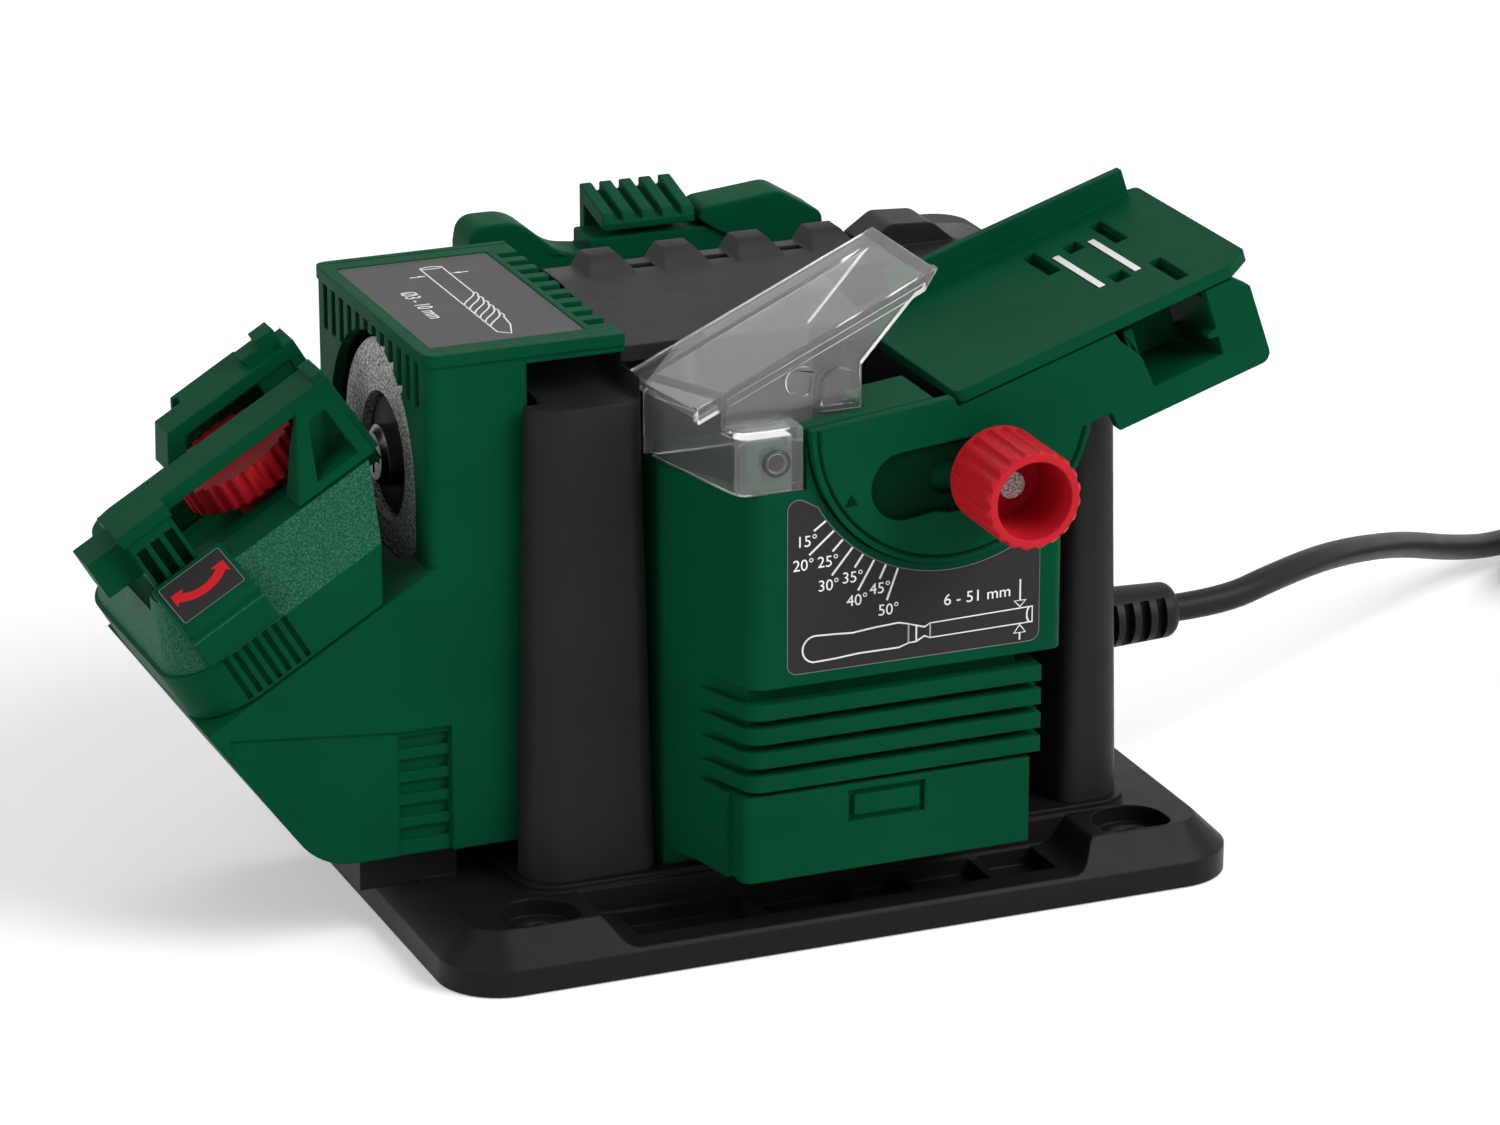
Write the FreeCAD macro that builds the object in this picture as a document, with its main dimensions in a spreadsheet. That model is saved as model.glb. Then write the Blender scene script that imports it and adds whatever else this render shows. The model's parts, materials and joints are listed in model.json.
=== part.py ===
import FreeCAD, Part
import Sketcher
import math
import os
from FreeCAD import Placement, Rotation, Vector

# Sharpening station: one motor drives a grinding wheel at the left end, with the drill holder
# latched over the wheel, the chisel table parked at the front and the knife guide at the back.
# Millimetres, +Z up, +X to the cord's side, +Y to the back, origin under the middle of the base.

SIZES = {
    # Base plate and its screw holes
    "base_length": 184, "base_depth": 140, "base_height": 12.5, "base_corner": 14, "base_slope": 6.8,
    "hole_span_x": 139, "hole_span_y": 115, "hole_radius": 3.35, "sink_radius": 8.5, "sink_floor": 8.5,
    "lip_height": 14, "recess_rim": 6.5, "recess_floor": 2.5, "tongue_top": 21,
    "base_hollow": 9, "screw_radius": 2, "screw_top": 34,
    # Motor housing, its bays for the parked attachments, and the cover on top
    "body_left": 66.8, "body_right": 73.5, "body_half_depth": 47.5, "body_top": 124, "pillar_top": 119.6,
    "body_draft": 1.0, "bay_left": 38, "bay_right": 57.5, "bay_wall": 25.5, "tunnel_radius": 18.2,
    "tray_well": 117, "cover_front": 36, "cover_rise": 131.5, "rib_top": 134.6, "rib_pitch": 17.5,
    # Motor and grinding wheel, all on the shaft's axis
    "shaft_height": 99, "shaft_radius": 4, "wheel_face": 82.6, "wheel_radius": 25.5, "wheel_width": 9,
    "stator_radius": 17, "armature_radius": 10.5, "commutator_radius": 7, "brush_reach": 19,
    # Drill housing and the swinging drill holder, whose deck is tilted for the point angle
    "drill_top": 132, "drill_half_depth": 36.5, "drill_left": 85, "drill_right": 63, "shell_wall": 3,
    "flange_right": 41, "deck_tilt": 31, "deck_drop": 11, "arch_radius": 27.5,
    "holder_half_width": 36, "holder_end": 95.6, "channel_half_width": 19, "channel_floor": 8,
    "swing_axis": 40, "swing_pin_radius": 5, "jaw_gap": 12, "jaw_width": 10, "jaw_top": 31,
    "clamp_axis": 26, "clamp_radius": 14.5, "clamp_low": 16, "clamp_high": 22.8,
    # Chisel housing, its angle plate with the table, the lock knob and the clear guard
    "chisel_front": 72, "chisel_back": 26, "chisel_low": 18, "fin_low": 38.4, "fin_high": 61.5,
    "fin_pitch": 5.4, "fin_height": 3.6, "chisel_shoulder": 105, "dial_x": 18.5, "dial_z": 117.5,
    "dial_radius": 32.4, "plate_back": 70.7, "plate_thickness": 3, "table_tilt": 18,
    "table_length": 74, "table_front": 74, "table_width": 57, "table_thick": 2.7, "table_gap": 2.1,
    "knob_x": 25.7, "knob_z": 105.7, "knob_radius": 10.8, "stud_radius": 3, "guard_wall": 2,
    # Knife housing at the back
    "knife_back": 70, "knife_half": 40, "knife_top": 118,
    # Mains lead
    "cord_radius": 3.2, "cord_y": -15, "cord_z": 43.5, "grip_end": 100,
    "coil_radius": 48.4, "coil_pitch": 6.9, "coil_lift": 0.9, "coil_tail": 22,
    # Switch on the right face
    "switch_y": 22, "switch_z": 72, "switch_face": 74.2, "switch_back": 54,
}

doc = FreeCAD.newDocument("sharpening_station")
sheet = doc.addObject("Spreadsheet::Sheet", "dims")
for row, (name, value) in enumerate(SIZES.items(), 1):
    sheet.set(f"A{row}", name)
    sheet.set(f"B{row}", str(value))
    sheet.setAlias(f"B{row}", name)
doc.recompute()


class Size:
    """A number that carries the sheet expression it comes from."""

    def __init__(self, value, text):
        self.value = value
        self.text = text

    def __add__(self, other):
        other = as_size(other)
        return Size(self.value + other.value, f"({self.text} + {other.text})")

    def __sub__(self, other):
        other = as_size(other)
        return Size(self.value - other.value, f"({self.text} - {other.text})")

    def __mul__(self, other):
        other = as_size(other)
        return Size(self.value * other.value, f"({self.text} * {other.text})")

    def __truediv__(self, other):
        other = as_size(other)
        return Size(self.value / other.value, f"({self.text} / {other.text})")

    def __neg__(self):
        return Size(-self.value, f"(-1 * {self.text})")

    def __radd__(self, other):
        return as_size(other) + self

    def __rsub__(self, other):
        return as_size(other) - self

    def __rmul__(self, other):
        return as_size(other) * self


def as_size(number):
    if isinstance(number, Size):
        return number
    return Size(float(number), f"({float(number)})")


class Dimensions:
    """The sheet's cells as attributes."""


d = Dimensions()
for name, value in SIZES.items():
    setattr(d, name, Size(float(value), f"dims.{name}"))

XY, XZ, YZ = "XY_Plane", "XZ_Plane", "YZ_Plane"
pieces = {}


def bind(item, prop, size):
    """Tie a property to the sheet when its size comes from there."""
    if "dims." in size.text:
        item.setExpression(prop, size.text)


def origin_item(body, role):
    return next(item for item in body.Origin.OriginFeatures if item.Role == role)


def new_body(label, at=(0, 0, 0), axis=None, angle=None):
    """An empty body; a tilted one is drawn in its own level frame and then placed."""
    body = doc.addObject("PartDesign::Body", label)
    body.Label = label
    body.AllowCompound = True
    place = [as_size(c) for c in at]
    turn = Rotation(axis, angle.value) if axis else Rotation()
    body.Placement = Placement(Vector(*[c.value for c in place]), turn)
    for letter, c in zip("xyz", place):
        bind(body, f"Placement.Base.{letter}", c)
    if axis:
        bind(body, "Placement.Rotation.Angle", angle)
    pieces[label] = body
    return body


def poly(*points):
    """A closed outline of corners (x, y), or (x, y, radius) where the corner is rounded."""
    return "poly", [tuple(as_size(value) for value in point) for point in points]


def rect(x0, x1, y0, y1, *radius):
    return poly((x0, y0, *radius), (x1, y0, *radius), (x1, y1, *radius), (x0, y1, *radius))


def disc(x, y, radius):
    return "disc", as_size(x), as_size(y), as_size(radius)


class Outline:
    """Lines and arcs of one sketch, with every corner and radius held by a constraint."""

    def __init__(self, sketch):
        self.sketch = sketch
        self.tied = []

    def rule(self, *terms, size=None):
        if size is not None:
            index = self.sketch.addConstraint(Sketcher.Constraint(*terms, size.value))
            self.tied.append((index, size))
        else:
            self.sketch.addConstraint(Sketcher.Constraint(*terms))

    def place(self, geo, pos, x, y):
        self.rule("DistanceX", -1, 1, geo, pos, size=x)
        self.rule("DistanceY", -1, 1, geo, pos, size=y)

    def circle(self, x, y, radius):
        centre = Vector(x.value, y.value, 0)
        geo = self.sketch.addGeometry(Part.Circle(centre, Vector(0, 0, 1), radius.value), False)
        self.place(geo, 3, x, y)
        self.rule("Radius", geo, size=radius)

    def loop(self, corners):
        """Straight sides between the corners, with a tangent arc at each rounded one."""
        spots = [Vector(corner[0].value, corner[1].value, 0) for corner in corners]
        count = len(corners)
        enter, leave = list(spots), list(spots)
        for i, corner in enumerate(corners):
            if len(corner) == 3:
                back = (spots[i - 1] - spots[i]).normalize()
                ahead = (spots[(i + 1) % count] - spots[i]).normalize()
                reach = corner[2].value / math.tan(back.getAngle(ahead) / 2)
                enter[i], leave[i] = spots[i] + back * reach, spots[i] + ahead * reach
        sides = [self.sketch.addGeometry(Part.LineSegment(leave[i], enter[(i + 1) % count]), False)
                 for i in range(count)]
        for i, corner in enumerate(corners):
            before, after = sides[i - 1], sides[i]
            if len(corner) == 2:
                self.rule("Coincident", before, 2, after, 1)
                self.place(after, 1, *corner)
            else:
                self.round_corner(before, after, enter[i], leave[i], corner)

    def round_corner(self, before, after, enter, leave, corner):
        x, y, radius = corner
        spot = Vector(x.value, y.value, 0)
        inward = ((enter - spot) + (leave - spot)).normalize()
        centre = spot + inward * math.hypot((enter - spot).Length, radius.value)
        left_turn = (spot - enter).cross(leave - spot).z > 0
        first, last = (enter, leave) if left_turn else (leave, enter)
        angles = [math.atan2(end.y - centre.y, end.x - centre.x) for end in (first, last)]
        ring = Part.Circle(centre, Vector(0, 0, 1), radius.value)
        arc = self.sketch.addGeometry(Part.ArcOfCircle(ring, *angles), False)
        tip = self.sketch.addGeometry(Part.Point(spot), True)
        self.rule("Tangent", before, 2, arc, 1 if left_turn else 2)
        self.rule("Tangent", after, 1, arc, 2 if left_turn else 1)
        self.place(tip, 1, x, y)
        self.rule("PointOnObject", tip, 1, before)
        self.rule("PointOnObject", tip, 1, after)
        self.rule("Radius", arc, size=radius)


def draw(sketch, loops):
    """Put closed loops in a sketch and tie their sizes to the sheet."""
    outline = Outline(sketch)
    for loop in loops:
        if loop[0] == "disc":
            outline.circle(*loop[1:])
        else:
            outline.loop(loop[1])
    for index, size in outline.tied:
        bind(sketch, f"Constraints[{index}]", size)


def sketch_at(body, plane, at, loops):
    sketch = body.newObject("Sketcher::SketchObject", body.Name + "_sketch")
    sketch.AttachmentSupport = [(origin_item(body, plane), "")]
    sketch.MapMode = "FlatFace"
    shift = -at if plane == XZ else at
    sketch.AttachmentOffset = Placement(Vector(0, 0, shift.value), Rotation())
    bind(sketch, "AttachmentOffset.Base.z", shift)
    draw(sketch, loops)
    return sketch


def add(body, plane, low, high, *loops):
    """A pad of the loops between two places on the plane's own axis."""
    low, high = as_size(low), as_size(high)
    pad = body.newObject("PartDesign::Pad", body.Name + "_pad")
    pad.Profile = sketch_at(body, plane, high if plane == XZ else low, loops)
    pad.Length = high.value - low.value
    bind(pad, "Length", high - low)
    return pad


def cut(body, plane, low, high, *loops):
    """A pocket of the loops between two places on the plane's own axis."""
    low, high = as_size(low), as_size(high)
    pocket = body.newObject("PartDesign::Pocket", body.Name + "_pocket")
    pocket.Profile = sketch_at(body, plane, low if plane == XZ else high, loops)
    pocket.Length = high.value - low.value
    bind(pocket, "Length", high - low)
    return pocket


def turn(body, plane, axis, loop):
    """A full revolution of one loop about the sketch's own H_Axis or V_Axis."""
    solid = body.newObject("PartDesign::Revolution", body.Name + "_turn")
    sketch = sketch_at(body, plane, as_size(0), [loop])
    solid.Profile = sketch
    solid.ReferenceAxis = (sketch, [axis])
    solid.Angle = 360
    return solid


def around(body, feature, axis, count):
    """Repeat a feature evenly about one of the body's own axes."""
    ring = body.newObject("PartDesign::PolarPattern", body.Name + "_ring")
    ring.Originals = [feature]
    ring.Axis = (origin_item(body, axis), [""])
    ring.Angle = 360
    ring.Occurrences = count
    body.Tip = ring
    return ring


def edge_middle(edge):
    return edge.valueAt((edge.FirstParameter + edge.LastParameter) / 2)


def soften(body, radius, *spots, kind="PartDesign::Fillet"):
    """Round or chamfer the edges whose middles lie nearest to the given spots."""
    doc.recompute()
    base = body.Tip
    edges = base.Shape.Edges
    middles = [edge_middle(edge) for edge in edges]
    names = set()
    for spot in spots:
        gaps = [(middle - Vector(*spot)).Length for middle in middles]
        names.add(f"Edge{gaps.index(min(gaps)) + 1}")
    radius = as_size(radius)
    feature = body.newObject(kind, body.Name + "_edge")
    feature.Base = (base, sorted(names))
    prop = "Radius" if kind.endswith("Fillet") else "Size"
    setattr(feature, prop, radius.value)
    bind(feature, prop, radius)
    body.Tip = feature
    return feature


def shape_piece(label, shape):
    item = doc.addObject("Part::Feature", label)
    item.Label = label
    item.Shape = shape
    pieces[label] = item
    return item


# The tilted frame of the drill holder: u runs up the deck to the wheel, n stands square to it.
deck_cos = Size(math.cos(math.radians(d.deck_tilt.value)), "cos(dims.deck_tilt * 1deg)")
deck_sin = Size(math.sin(math.radians(d.deck_tilt.value)), "sin(dims.deck_tilt * 1deg)")


def deck_point(u, n):
    return -d.wheel_face + deck_cos * u - deck_sin * n, d.shaft_height + deck_sin * u + deck_cos * n


def deck_height(x, n):
    """How high the line n above the holder's base line stands at x."""
    return d.shaft_height + (x + d.wheel_face) * (deck_sin / deck_cos) + n / deck_cos


def holder_body(label):
    return new_body(label, (-d.wheel_face, 0, d.shaft_height), Vector(0, -1, 0), d.deck_tilt)


def rotor_body(label):
    return new_body(label, (0, 0, d.shaft_height))


def table_body(label):
    return new_body(label, (d.dial_x, 0, d.dial_z), Vector(0, -1, 0), d.table_tilt)


def sink_outline(x, y):
    """A screw head's sink: round on the side of the housing, straight on the side of the edge."""
    out = math.copysign(1, y.value)
    half, straight, corner = d.sink_radius, 5.5, 3
    return poly((x - half, y + straight * out, corner), (x + half, y + straight * out, corner),
                (x + half, y - half * out, half - 0.1), (x - half, y - half * out, half - 0.1))


def base_plate():
    body = new_body("base_plate")
    half_x, half_y = d.base_length / 2, d.base_depth / 2
    add(body, XY, 0, d.base_height, rect(-half_x, half_x, -half_y, half_y))
    corners = [(sx * half_x.value, sy * half_y.value) for sx in (-1, 1) for sy in (-1, 1)]
    middle = d.base_height.value / 2
    soften(body, d.base_corner, *[(x, y, middle) for x, y in corners])
    top = d.base_height.value
    near = 4
    edges = [(0, half_y.value, top), (0, -half_y.value, top), (half_x.value, 0, top), (-half_x.value, 0, top)]
    edges += [(x - math.copysign(near, x), y - math.copysign(near, y), top) for x, y in corners]
    soften(body, d.base_slope, *edges, kind="PartDesign::Chamfer")
    # The lip that the motor housing stands on.
    margin = 1.3
    lip_x, lip_y = (-d.body_left - margin, d.body_right + margin), d.body_half_depth + margin
    add(body, XY, d.base_height - 1, d.lip_height, rect(*lip_x, -lip_y, lip_y))
    lip_middle = (d.base_height.value + d.lip_height.value) / 2
    soften(body, 8, *[(x.value, y.value, lip_middle) for x in lip_x for y in (-lip_y, lip_y)])
    spots = [(sx * d.hole_span_x / 2, sy * d.hole_span_y / 2) for sx in (-1, 1) for sy in (-1, 1)]
    cut(body, XY, d.sink_floor, d.lip_height, *[sink_outline(x, y) for x, y in spots])
    cut(body, XY, -1, d.base_height, *[disc(x, y, d.hole_radius) for x, y in spots])
    # The front recess: its ends bend down to the rim, and ribs cross its floor.
    rim, bend, end, foot = d.recess_rim, 5, 57.2, 53.2
    cut(body, XZ, -half_y - 1, -d.body_half_depth - 2,
        poly((-61, d.lip_height), (-end, 12.2, bend), (-foot, rim, bend), (foot, rim, bend),
             (end, 12.2, bend), (61, d.lip_height)))
    floor_half, floor_front, floor_back = 49, -63, -d.body_half_depth - 2.5
    cut(body, XY, d.recess_floor, d.base_height, rect(-floor_half, floor_half, floor_front, floor_back))
    ribs = [rect(x, x + 2, floor_front, floor_back) for x in (-20, 2, 16, 34)]
    add(body, XY, d.recess_floor - 0.5, d.recess_rim - 0.8, *ribs)
    # The tongue under the drill housing, and the hollow underside.
    tongue_half, tongue_out, tongue_in = 30, -half_x - 8, -half_x + 14
    add(body, XY, d.base_height - 0.5, d.tongue_top, rect(tongue_out, tongue_in, -tongue_half, tongue_half))
    hollow_x, hollow_y = 86, 46
    cut(body, XY, -1, d.base_hollow, rect(-hollow_x, hollow_x, -hollow_y, hollow_y))
    cut(body, XY, d.base_hollow - 1, d.lip_height + 1, *foot_screw_holes())


def motor_housing():
    body = new_body("motor_housing")
    left, right, deep = d.body_left, d.body_right, d.body_half_depth
    seat = d.drill_half_depth + 0.8
    inset = -d.drill_right + 0.7
    plan = poly((-left, -deep), (-d.bay_left, -deep), (-d.bay_left, -d.bay_wall), (d.bay_right, -d.bay_wall),
                (d.bay_right, -deep), (right, -deep), (right, deep), (d.bay_right, deep),
                (d.bay_right, d.bay_wall), (-d.bay_left, d.bay_wall), (-d.bay_left, deep), (-left, deep),
                (-left, seat), (inset, seat), (inset, -seat), (-left, -seat))
    pad = add(body, XY, d.lip_height, d.body_top, plan)
    pad.TaperAngle = -d.body_draft.value
    bind(pad, "TaperAngle", -d.body_draft)
    low = d.lip_height.value
    mid = (low + d.body_top.value) / 2
    pull = 1
    outer_x = (pull - left.value, right.value - pull)
    inner_x = (-d.bay_left.value - pull, d.bay_right.value + pull)
    side_y = (pull - deep.value, deep.value - pull)
    soften(body, 8, *[(x, y, mid) for x in outer_x for y in side_y])
    soften(body, 4, *[(x, y, mid) for x in inner_x for y in side_y])
    # The motor's tunnel, open below, with a well for the chisel table above it.
    tunnel_low, tunnel_high = -d.drill_right + 5, d.body_right - 5
    cut(body, YZ, tunnel_low, tunnel_high, disc(0, d.shaft_height, d.tunnel_radius))
    cut(body, YZ, tunnel_low, tunnel_high,
        rect(-d.tunnel_radius, d.tunnel_radius, d.lip_height - 1, d.shaft_height))
    cut(body, XY, d.tray_well, d.body_top + 1, rect(15, 50, -27, -8.5))
    cut(body, XY, d.pillar_top, d.body_top + 1, rect(-left - 1, -40.2, -deep - 1, deep + 1))
    # The front bearing's seat, then the ways for the shaft, switch, brushes, cord and screws.
    seat_wall, bearing = 12.5, 9.5
    add(body, YZ, tunnel_low - 1, tunnel_low + 7, disc(0, d.shaft_height, seat_wall))
    cut(body, YZ, tunnel_low, tunnel_low + 7.1, disc(0, d.shaft_height, bearing))
    cut(body, YZ, -d.drill_right - 4, tunnel_low + 1, disc(0, d.shaft_height, d.shaft_radius + 1.5))
    cut(body, YZ, d.switch_back - 1, d.body_right + 1, switch_outline())
    cut(body, YZ, 24, 32, rect(-d.brush_reach, d.brush_reach, d.shaft_height - 4, d.shaft_height + 4))
    grip_neck, grip_flange = 6, 8.3
    cut(body, YZ, tunnel_high - 2, d.body_right + 1, disc(d.cord_y, d.cord_z, grip_neck))
    cut(body, YZ, tunnel_high - 3, tunnel_high, disc(d.cord_y, d.cord_z, grip_flange))
    cut(body, XY, d.lip_height - 1, d.screw_top, *foot_screw_holes())


def top_cover():
    body = new_body("top_cover")
    low, rise, tip = d.body_top, d.cover_rise, d.rib_top
    left, right, back = -40, 68, 27
    crest_front, crest_back = 4, 15
    add(body, YZ, left, right, poly((-d.cover_front, low), (-d.cover_front, low + 3, 2), (crest_front, rise),
                                    (crest_back, rise), (back, low + 3, 1), (back, low)))
    cut(body, XY, low - 1, tip, rect(16, right + 1, -d.cover_front - 1, -8),
        rect(left - 1, -21, -d.cover_front - 1, -31.7))
    # Ribs like blunt teeth along the crest, sloped at the front, with a vent between each two.
    first_rib, rib_count, slope_run = -27.6, 4, 7
    half_top, half_foot, edge = 3.4, 6, 0.8
    for number in range(rib_count):
        middle = first_rib + number * d.rib_pitch
        add(body, XZ, crest_front, crest_back + 1,
            poly((middle - half_foot, rise - 0.5), (middle + half_foot, rise - 0.5),
                 (middle + half_top, tip, edge), (middle - half_top, tip, edge)))
    cut(body, YZ, left - 1, right + 1,
        poly((crest_front - 1, rise), (crest_front, rise), (crest_front + slope_run, tip),
             (crest_front + slope_run, tip + 1), (crest_front - 1, tip + 1)))
    vent_half, vent_front, vent_back = 2.6, 8, 11
    for number in range(rib_count - 1):
        gap = first_rib + (number + 0.5) * d.rib_pitch
        cut(body, XY, rise - 4, rise + 1, rect(gap - vent_half, gap + vent_half, vent_front, vent_back))
    # The right end slopes down, beside a hump that the chisel table clears.
    end_slope = 52
    cut(body, XZ, -d.cover_front, back + 1,
        poly((end_slope, rise + 0.1), (right + 1, low + 1.5), (right + 1, tip + 9), (end_slope, tip + 9)))
    hump_left, hump_right, hump_foot = 31, 55, rise - 3.5
    add(body, XZ, 2, 14, poly((hump_left, hump_foot), (hump_left, rise + 1), (37, 136.6, 3), (47, 136, 4),
                              (hump_right, 129), (hump_right, hump_foot)))


def motor_internals():
    axis = d.shaft_height
    cradle = new_body("stator_cradle")
    side = d.tunnel_radius - 0.2
    add(cradle, YZ, -20, -14, rect(-side, side, d.lip_height, axis))
    add(cradle, YZ, 4, 10, rect(-side, side, d.lip_height, axis))
    add(cradle, XY, d.lip_height, d.lip_height + 4, rect(-20, 10, -side, side))
    cut(cradle, YZ, -21, 11, disc(0, axis, d.stator_radius + 0.05))

    stator = rotor_body("stator_core")
    add(stator, YZ, -22, 12, disc(0, 0, d.stator_radius), disc(0, 0, d.armature_radius + 0.5))

    coils = rotor_body("field_coils")
    for low, high in ((-28, -22), (12, 18)):
        add(coils, YZ, low, high, disc(0, 0, 15.6), disc(0, 0, d.armature_radius + 1))

    plate = new_body("bearing_plate")
    add(plate, YZ, 43, 51, rect(-side, side, d.lip_height, axis))
    add(plate, YZ, 43, 51, disc(0, axis, 13))
    cut(plate, YZ, 44, 52, disc(0, axis, 9.5))
    cut(plate, YZ, 42, 45, disc(0, axis, 6))
    cut(plate, YZ, 42, 52, rect(-12, 12, 30, 75))

    for label, low in (("front_bearing", -57.9), ("rear_bearing", 44.1)):
        bearing = rotor_body(label)
        add(bearing, YZ, low, low + 6, disc(0, 0, 9.5), disc(0, 0, d.shaft_radius + 0.04))

    holders = rotor_body("brush_holders")
    brushes = rotor_body("carbon_brushes")
    reach = d.brush_reach
    for sign in (-1, 1):
        low, high = (8.6, reach) if sign > 0 else (-reach, -8.6)
        add(holders, XZ, low, high, rect(24, 32, -4, 4), rect(25.5, 30.5, -2.5, 2.5))
        low, high = (7.15, 15) if sign > 0 else (-15, -7.15)
        add(brushes, XZ, low, high, rect(25.6, 30.4, -2.4, 2.4))

    shaft = rotor_body("motor_shaft")
    r = d.shaft_radius
    turn(shaft, XZ, "H_Axis", poly((-79, 0), (-79, r), (52, r), (52, 0)))
    cut(shaft, YZ, -80, -66, disc(0, 0, 2))

    armature = rotor_body("armature_core")
    add(armature, YZ, -21, 11, disc(0, 0, d.armature_radius), disc(0, 0, r))
    slot = cut(armature, YZ, -22, 12, rect(-1, 1, 7, d.armature_radius + 1))
    around(armature, slot, "X_Axis", 12)

    commutator = rotor_body("commutator")
    add(commutator, YZ, 21, 35, disc(0, 0, d.commutator_radius), disc(0, 0, r))
    bar = cut(commutator, YZ, 22, 36, rect(-0.3, 0.3, 6, d.commutator_radius + 1))
    around(commutator, bar, "X_Axis", 16)

    fan = rotor_body("cooling_fan")
    add(fan, YZ, -46, -44, disc(0, 0, 15.5), disc(0, 0, r))
    add(fan, YZ, -45, -36, disc(0, 0, 6.5), disc(0, 0, r))
    blade = add(fan, YZ, -45, -37, poly((-0.7, 5.5), (0.7, 5.5), (2.7, 15), (1.3, 15)))
    around(fan, blade, "X_Axis", 11)


def wheel_end():
    face, width, r = d.wheel_face, d.wheel_width, d.shaft_radius
    rim, recess, bore = d.wheel_radius, 14, 8
    seat = -face + 5
    wheel = rotor_body("grinding_wheel")
    chamfer, back = 0.8, -face + width
    turn(wheel, XZ, "H_Axis", poly((-face, recess), (-face, rim - chamfer), (-face + chamfer, rim),
                                   (back, rim), (back, bore), (seat, bore), (seat, recess)))
    hub = rotor_body("wheel_hub")
    thread, front = 2.2, -face + 3.2
    turn(hub, XZ, "H_Axis", poly((front, thread), (front, bore), (back, bore), (back, 14), (back + 3, 14),
                                 (back + 3, 9), (back + 5, 7.5), (back + 5, r), (-79, r), (-79, thread)))
    clamp = rotor_body("wheel_washer")
    edge, under_head = recess - 0.4, -face + 1.6
    turn(clamp, XZ, "H_Axis", poly((under_head, thread), (under_head, edge - 1.2), (under_head + 1.2, edge),
                                   (seat, edge), (seat, bore), (front, bore), (front, thread)))
    screw = rotor_body("wheel_screw")
    head, top = 6.8, -face - 2.2
    turn(screw, XZ, "H_Axis", poly((top, 0), (top, head - 1.6), (top + 1.2, head), (under_head, head),
                                   (under_head, 2), (-68, 2), (-68, 0)))
    arm, half = 3.8, 0.7
    cross = [rect(-half, half, -arm, arm), rect(-arm, -half, -half, half), rect(half, arm, -half, half)]
    cut(screw, YZ, top - 1, top + 1.8, *cross)


def drill_housing():
    body = new_body("drill_housing")
    left, right, top, low = -d.drill_left, -d.drill_right, d.drill_top, d.tongue_top
    half, wall = d.drill_half_depth, d.shell_wall
    deck, under = -d.deck_drop, -d.deck_drop - wall
    heel = -110.5
    add(body, XZ, -half, half, poly((left, top), (right, top), (right, low), (heel, low),
                                    deck_point(-67.6, deck), (left, deck_height(left, deck))))
    add(body, XY, top - 4, top, rect(right - 1, -d.flange_right, -half, half))
    soften(body, 15, (heel, 0, low.value))
    soften(body, 2.5, (-85, -36.5, 108), (-85, 36.5, 108))
    inside = left + wall - 0.5
    cut(body, XZ, -half + wall, half - wall,
        poly((right + 1, low + wall), (heel + 1, low + wall), deck_point(-63.5, under),
             (inside, deck_height(inside, under)), (inside, top - wall), (right + 1, top - wall)))
    arch = d.arch_radius
    cut(body, YZ, left - 2, left + 3, disc(0, d.shaft_height, arch))
    cut(body, YZ, left - 2, left + 3, rect(-arch, arch, deck_height(left, deck) - 1, d.shaft_height))
    flutes = [rect(y - 1.3, y + 1.3, top - 13, top + 1) for y in [-29.7 + 5.4 * i for i in range(12)]]
    cut(body, YZ, left - 1, left + 1.3, *flutes)
    edge = -d.flange_right
    grips = [rect(edge - 5, edge + 1, y - 1.7, y + 1.7) for y in [-26.4 + 6.6 * i for i in range(9)]]
    cut(body, XY, top - 1.6, top + 1, *grips)
    # Both sides have a louvred panel and a shallow step to the left of it.
    panel_left, panel_right, panel_top, inset = -93, -81, 49.5, 0.4
    slat_low, slat_pitch, slat_height = 24.4, 5.2, 2.8
    slats = [rect(panel_left + inset, panel_right - inset, z, z + slat_height)
             for z in [slat_low + slat_pitch * i for i in range(5)]]
    panel = rect(panel_left, panel_right, low - 1, panel_top)
    step = poly((-130, low - 1), (panel_left, low - 1), (panel_left, panel_top), (-130, 53))
    for depth, loops in ((0.6, [step]), (1.0, [panel]), (2.2, slats)):
        cut(body, XZ, -half - 1, -half + depth, *loops)
        cut(body, XZ, half - depth, half + 1, *loops)
    cut(body, XY, top - 0.4, top + 1, rect(-82, -47.5, -30.5, 30.5))
    bore = doc.addObject("Part::Cylinder", "deck_bore")
    bore.Radius = d.swing_pin_radius.value
    bind(bore, "Radius", d.swing_pin_radius)
    bore.Height = 20
    x, z = deck_point(-d.swing_axis, -bore.Height.Value)
    tilt = Rotation(Vector(0, -1, 0), d.deck_tilt.value)
    bore.Placement = Placement(Vector(x.value, 0, z.value), tilt)
    drilled = doc.addObject("Part::Cut", "drill_housing_drilled")
    drilled.Base = body
    drilled.Tool = bore
    pieces["drill_housing"] = drilled


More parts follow.
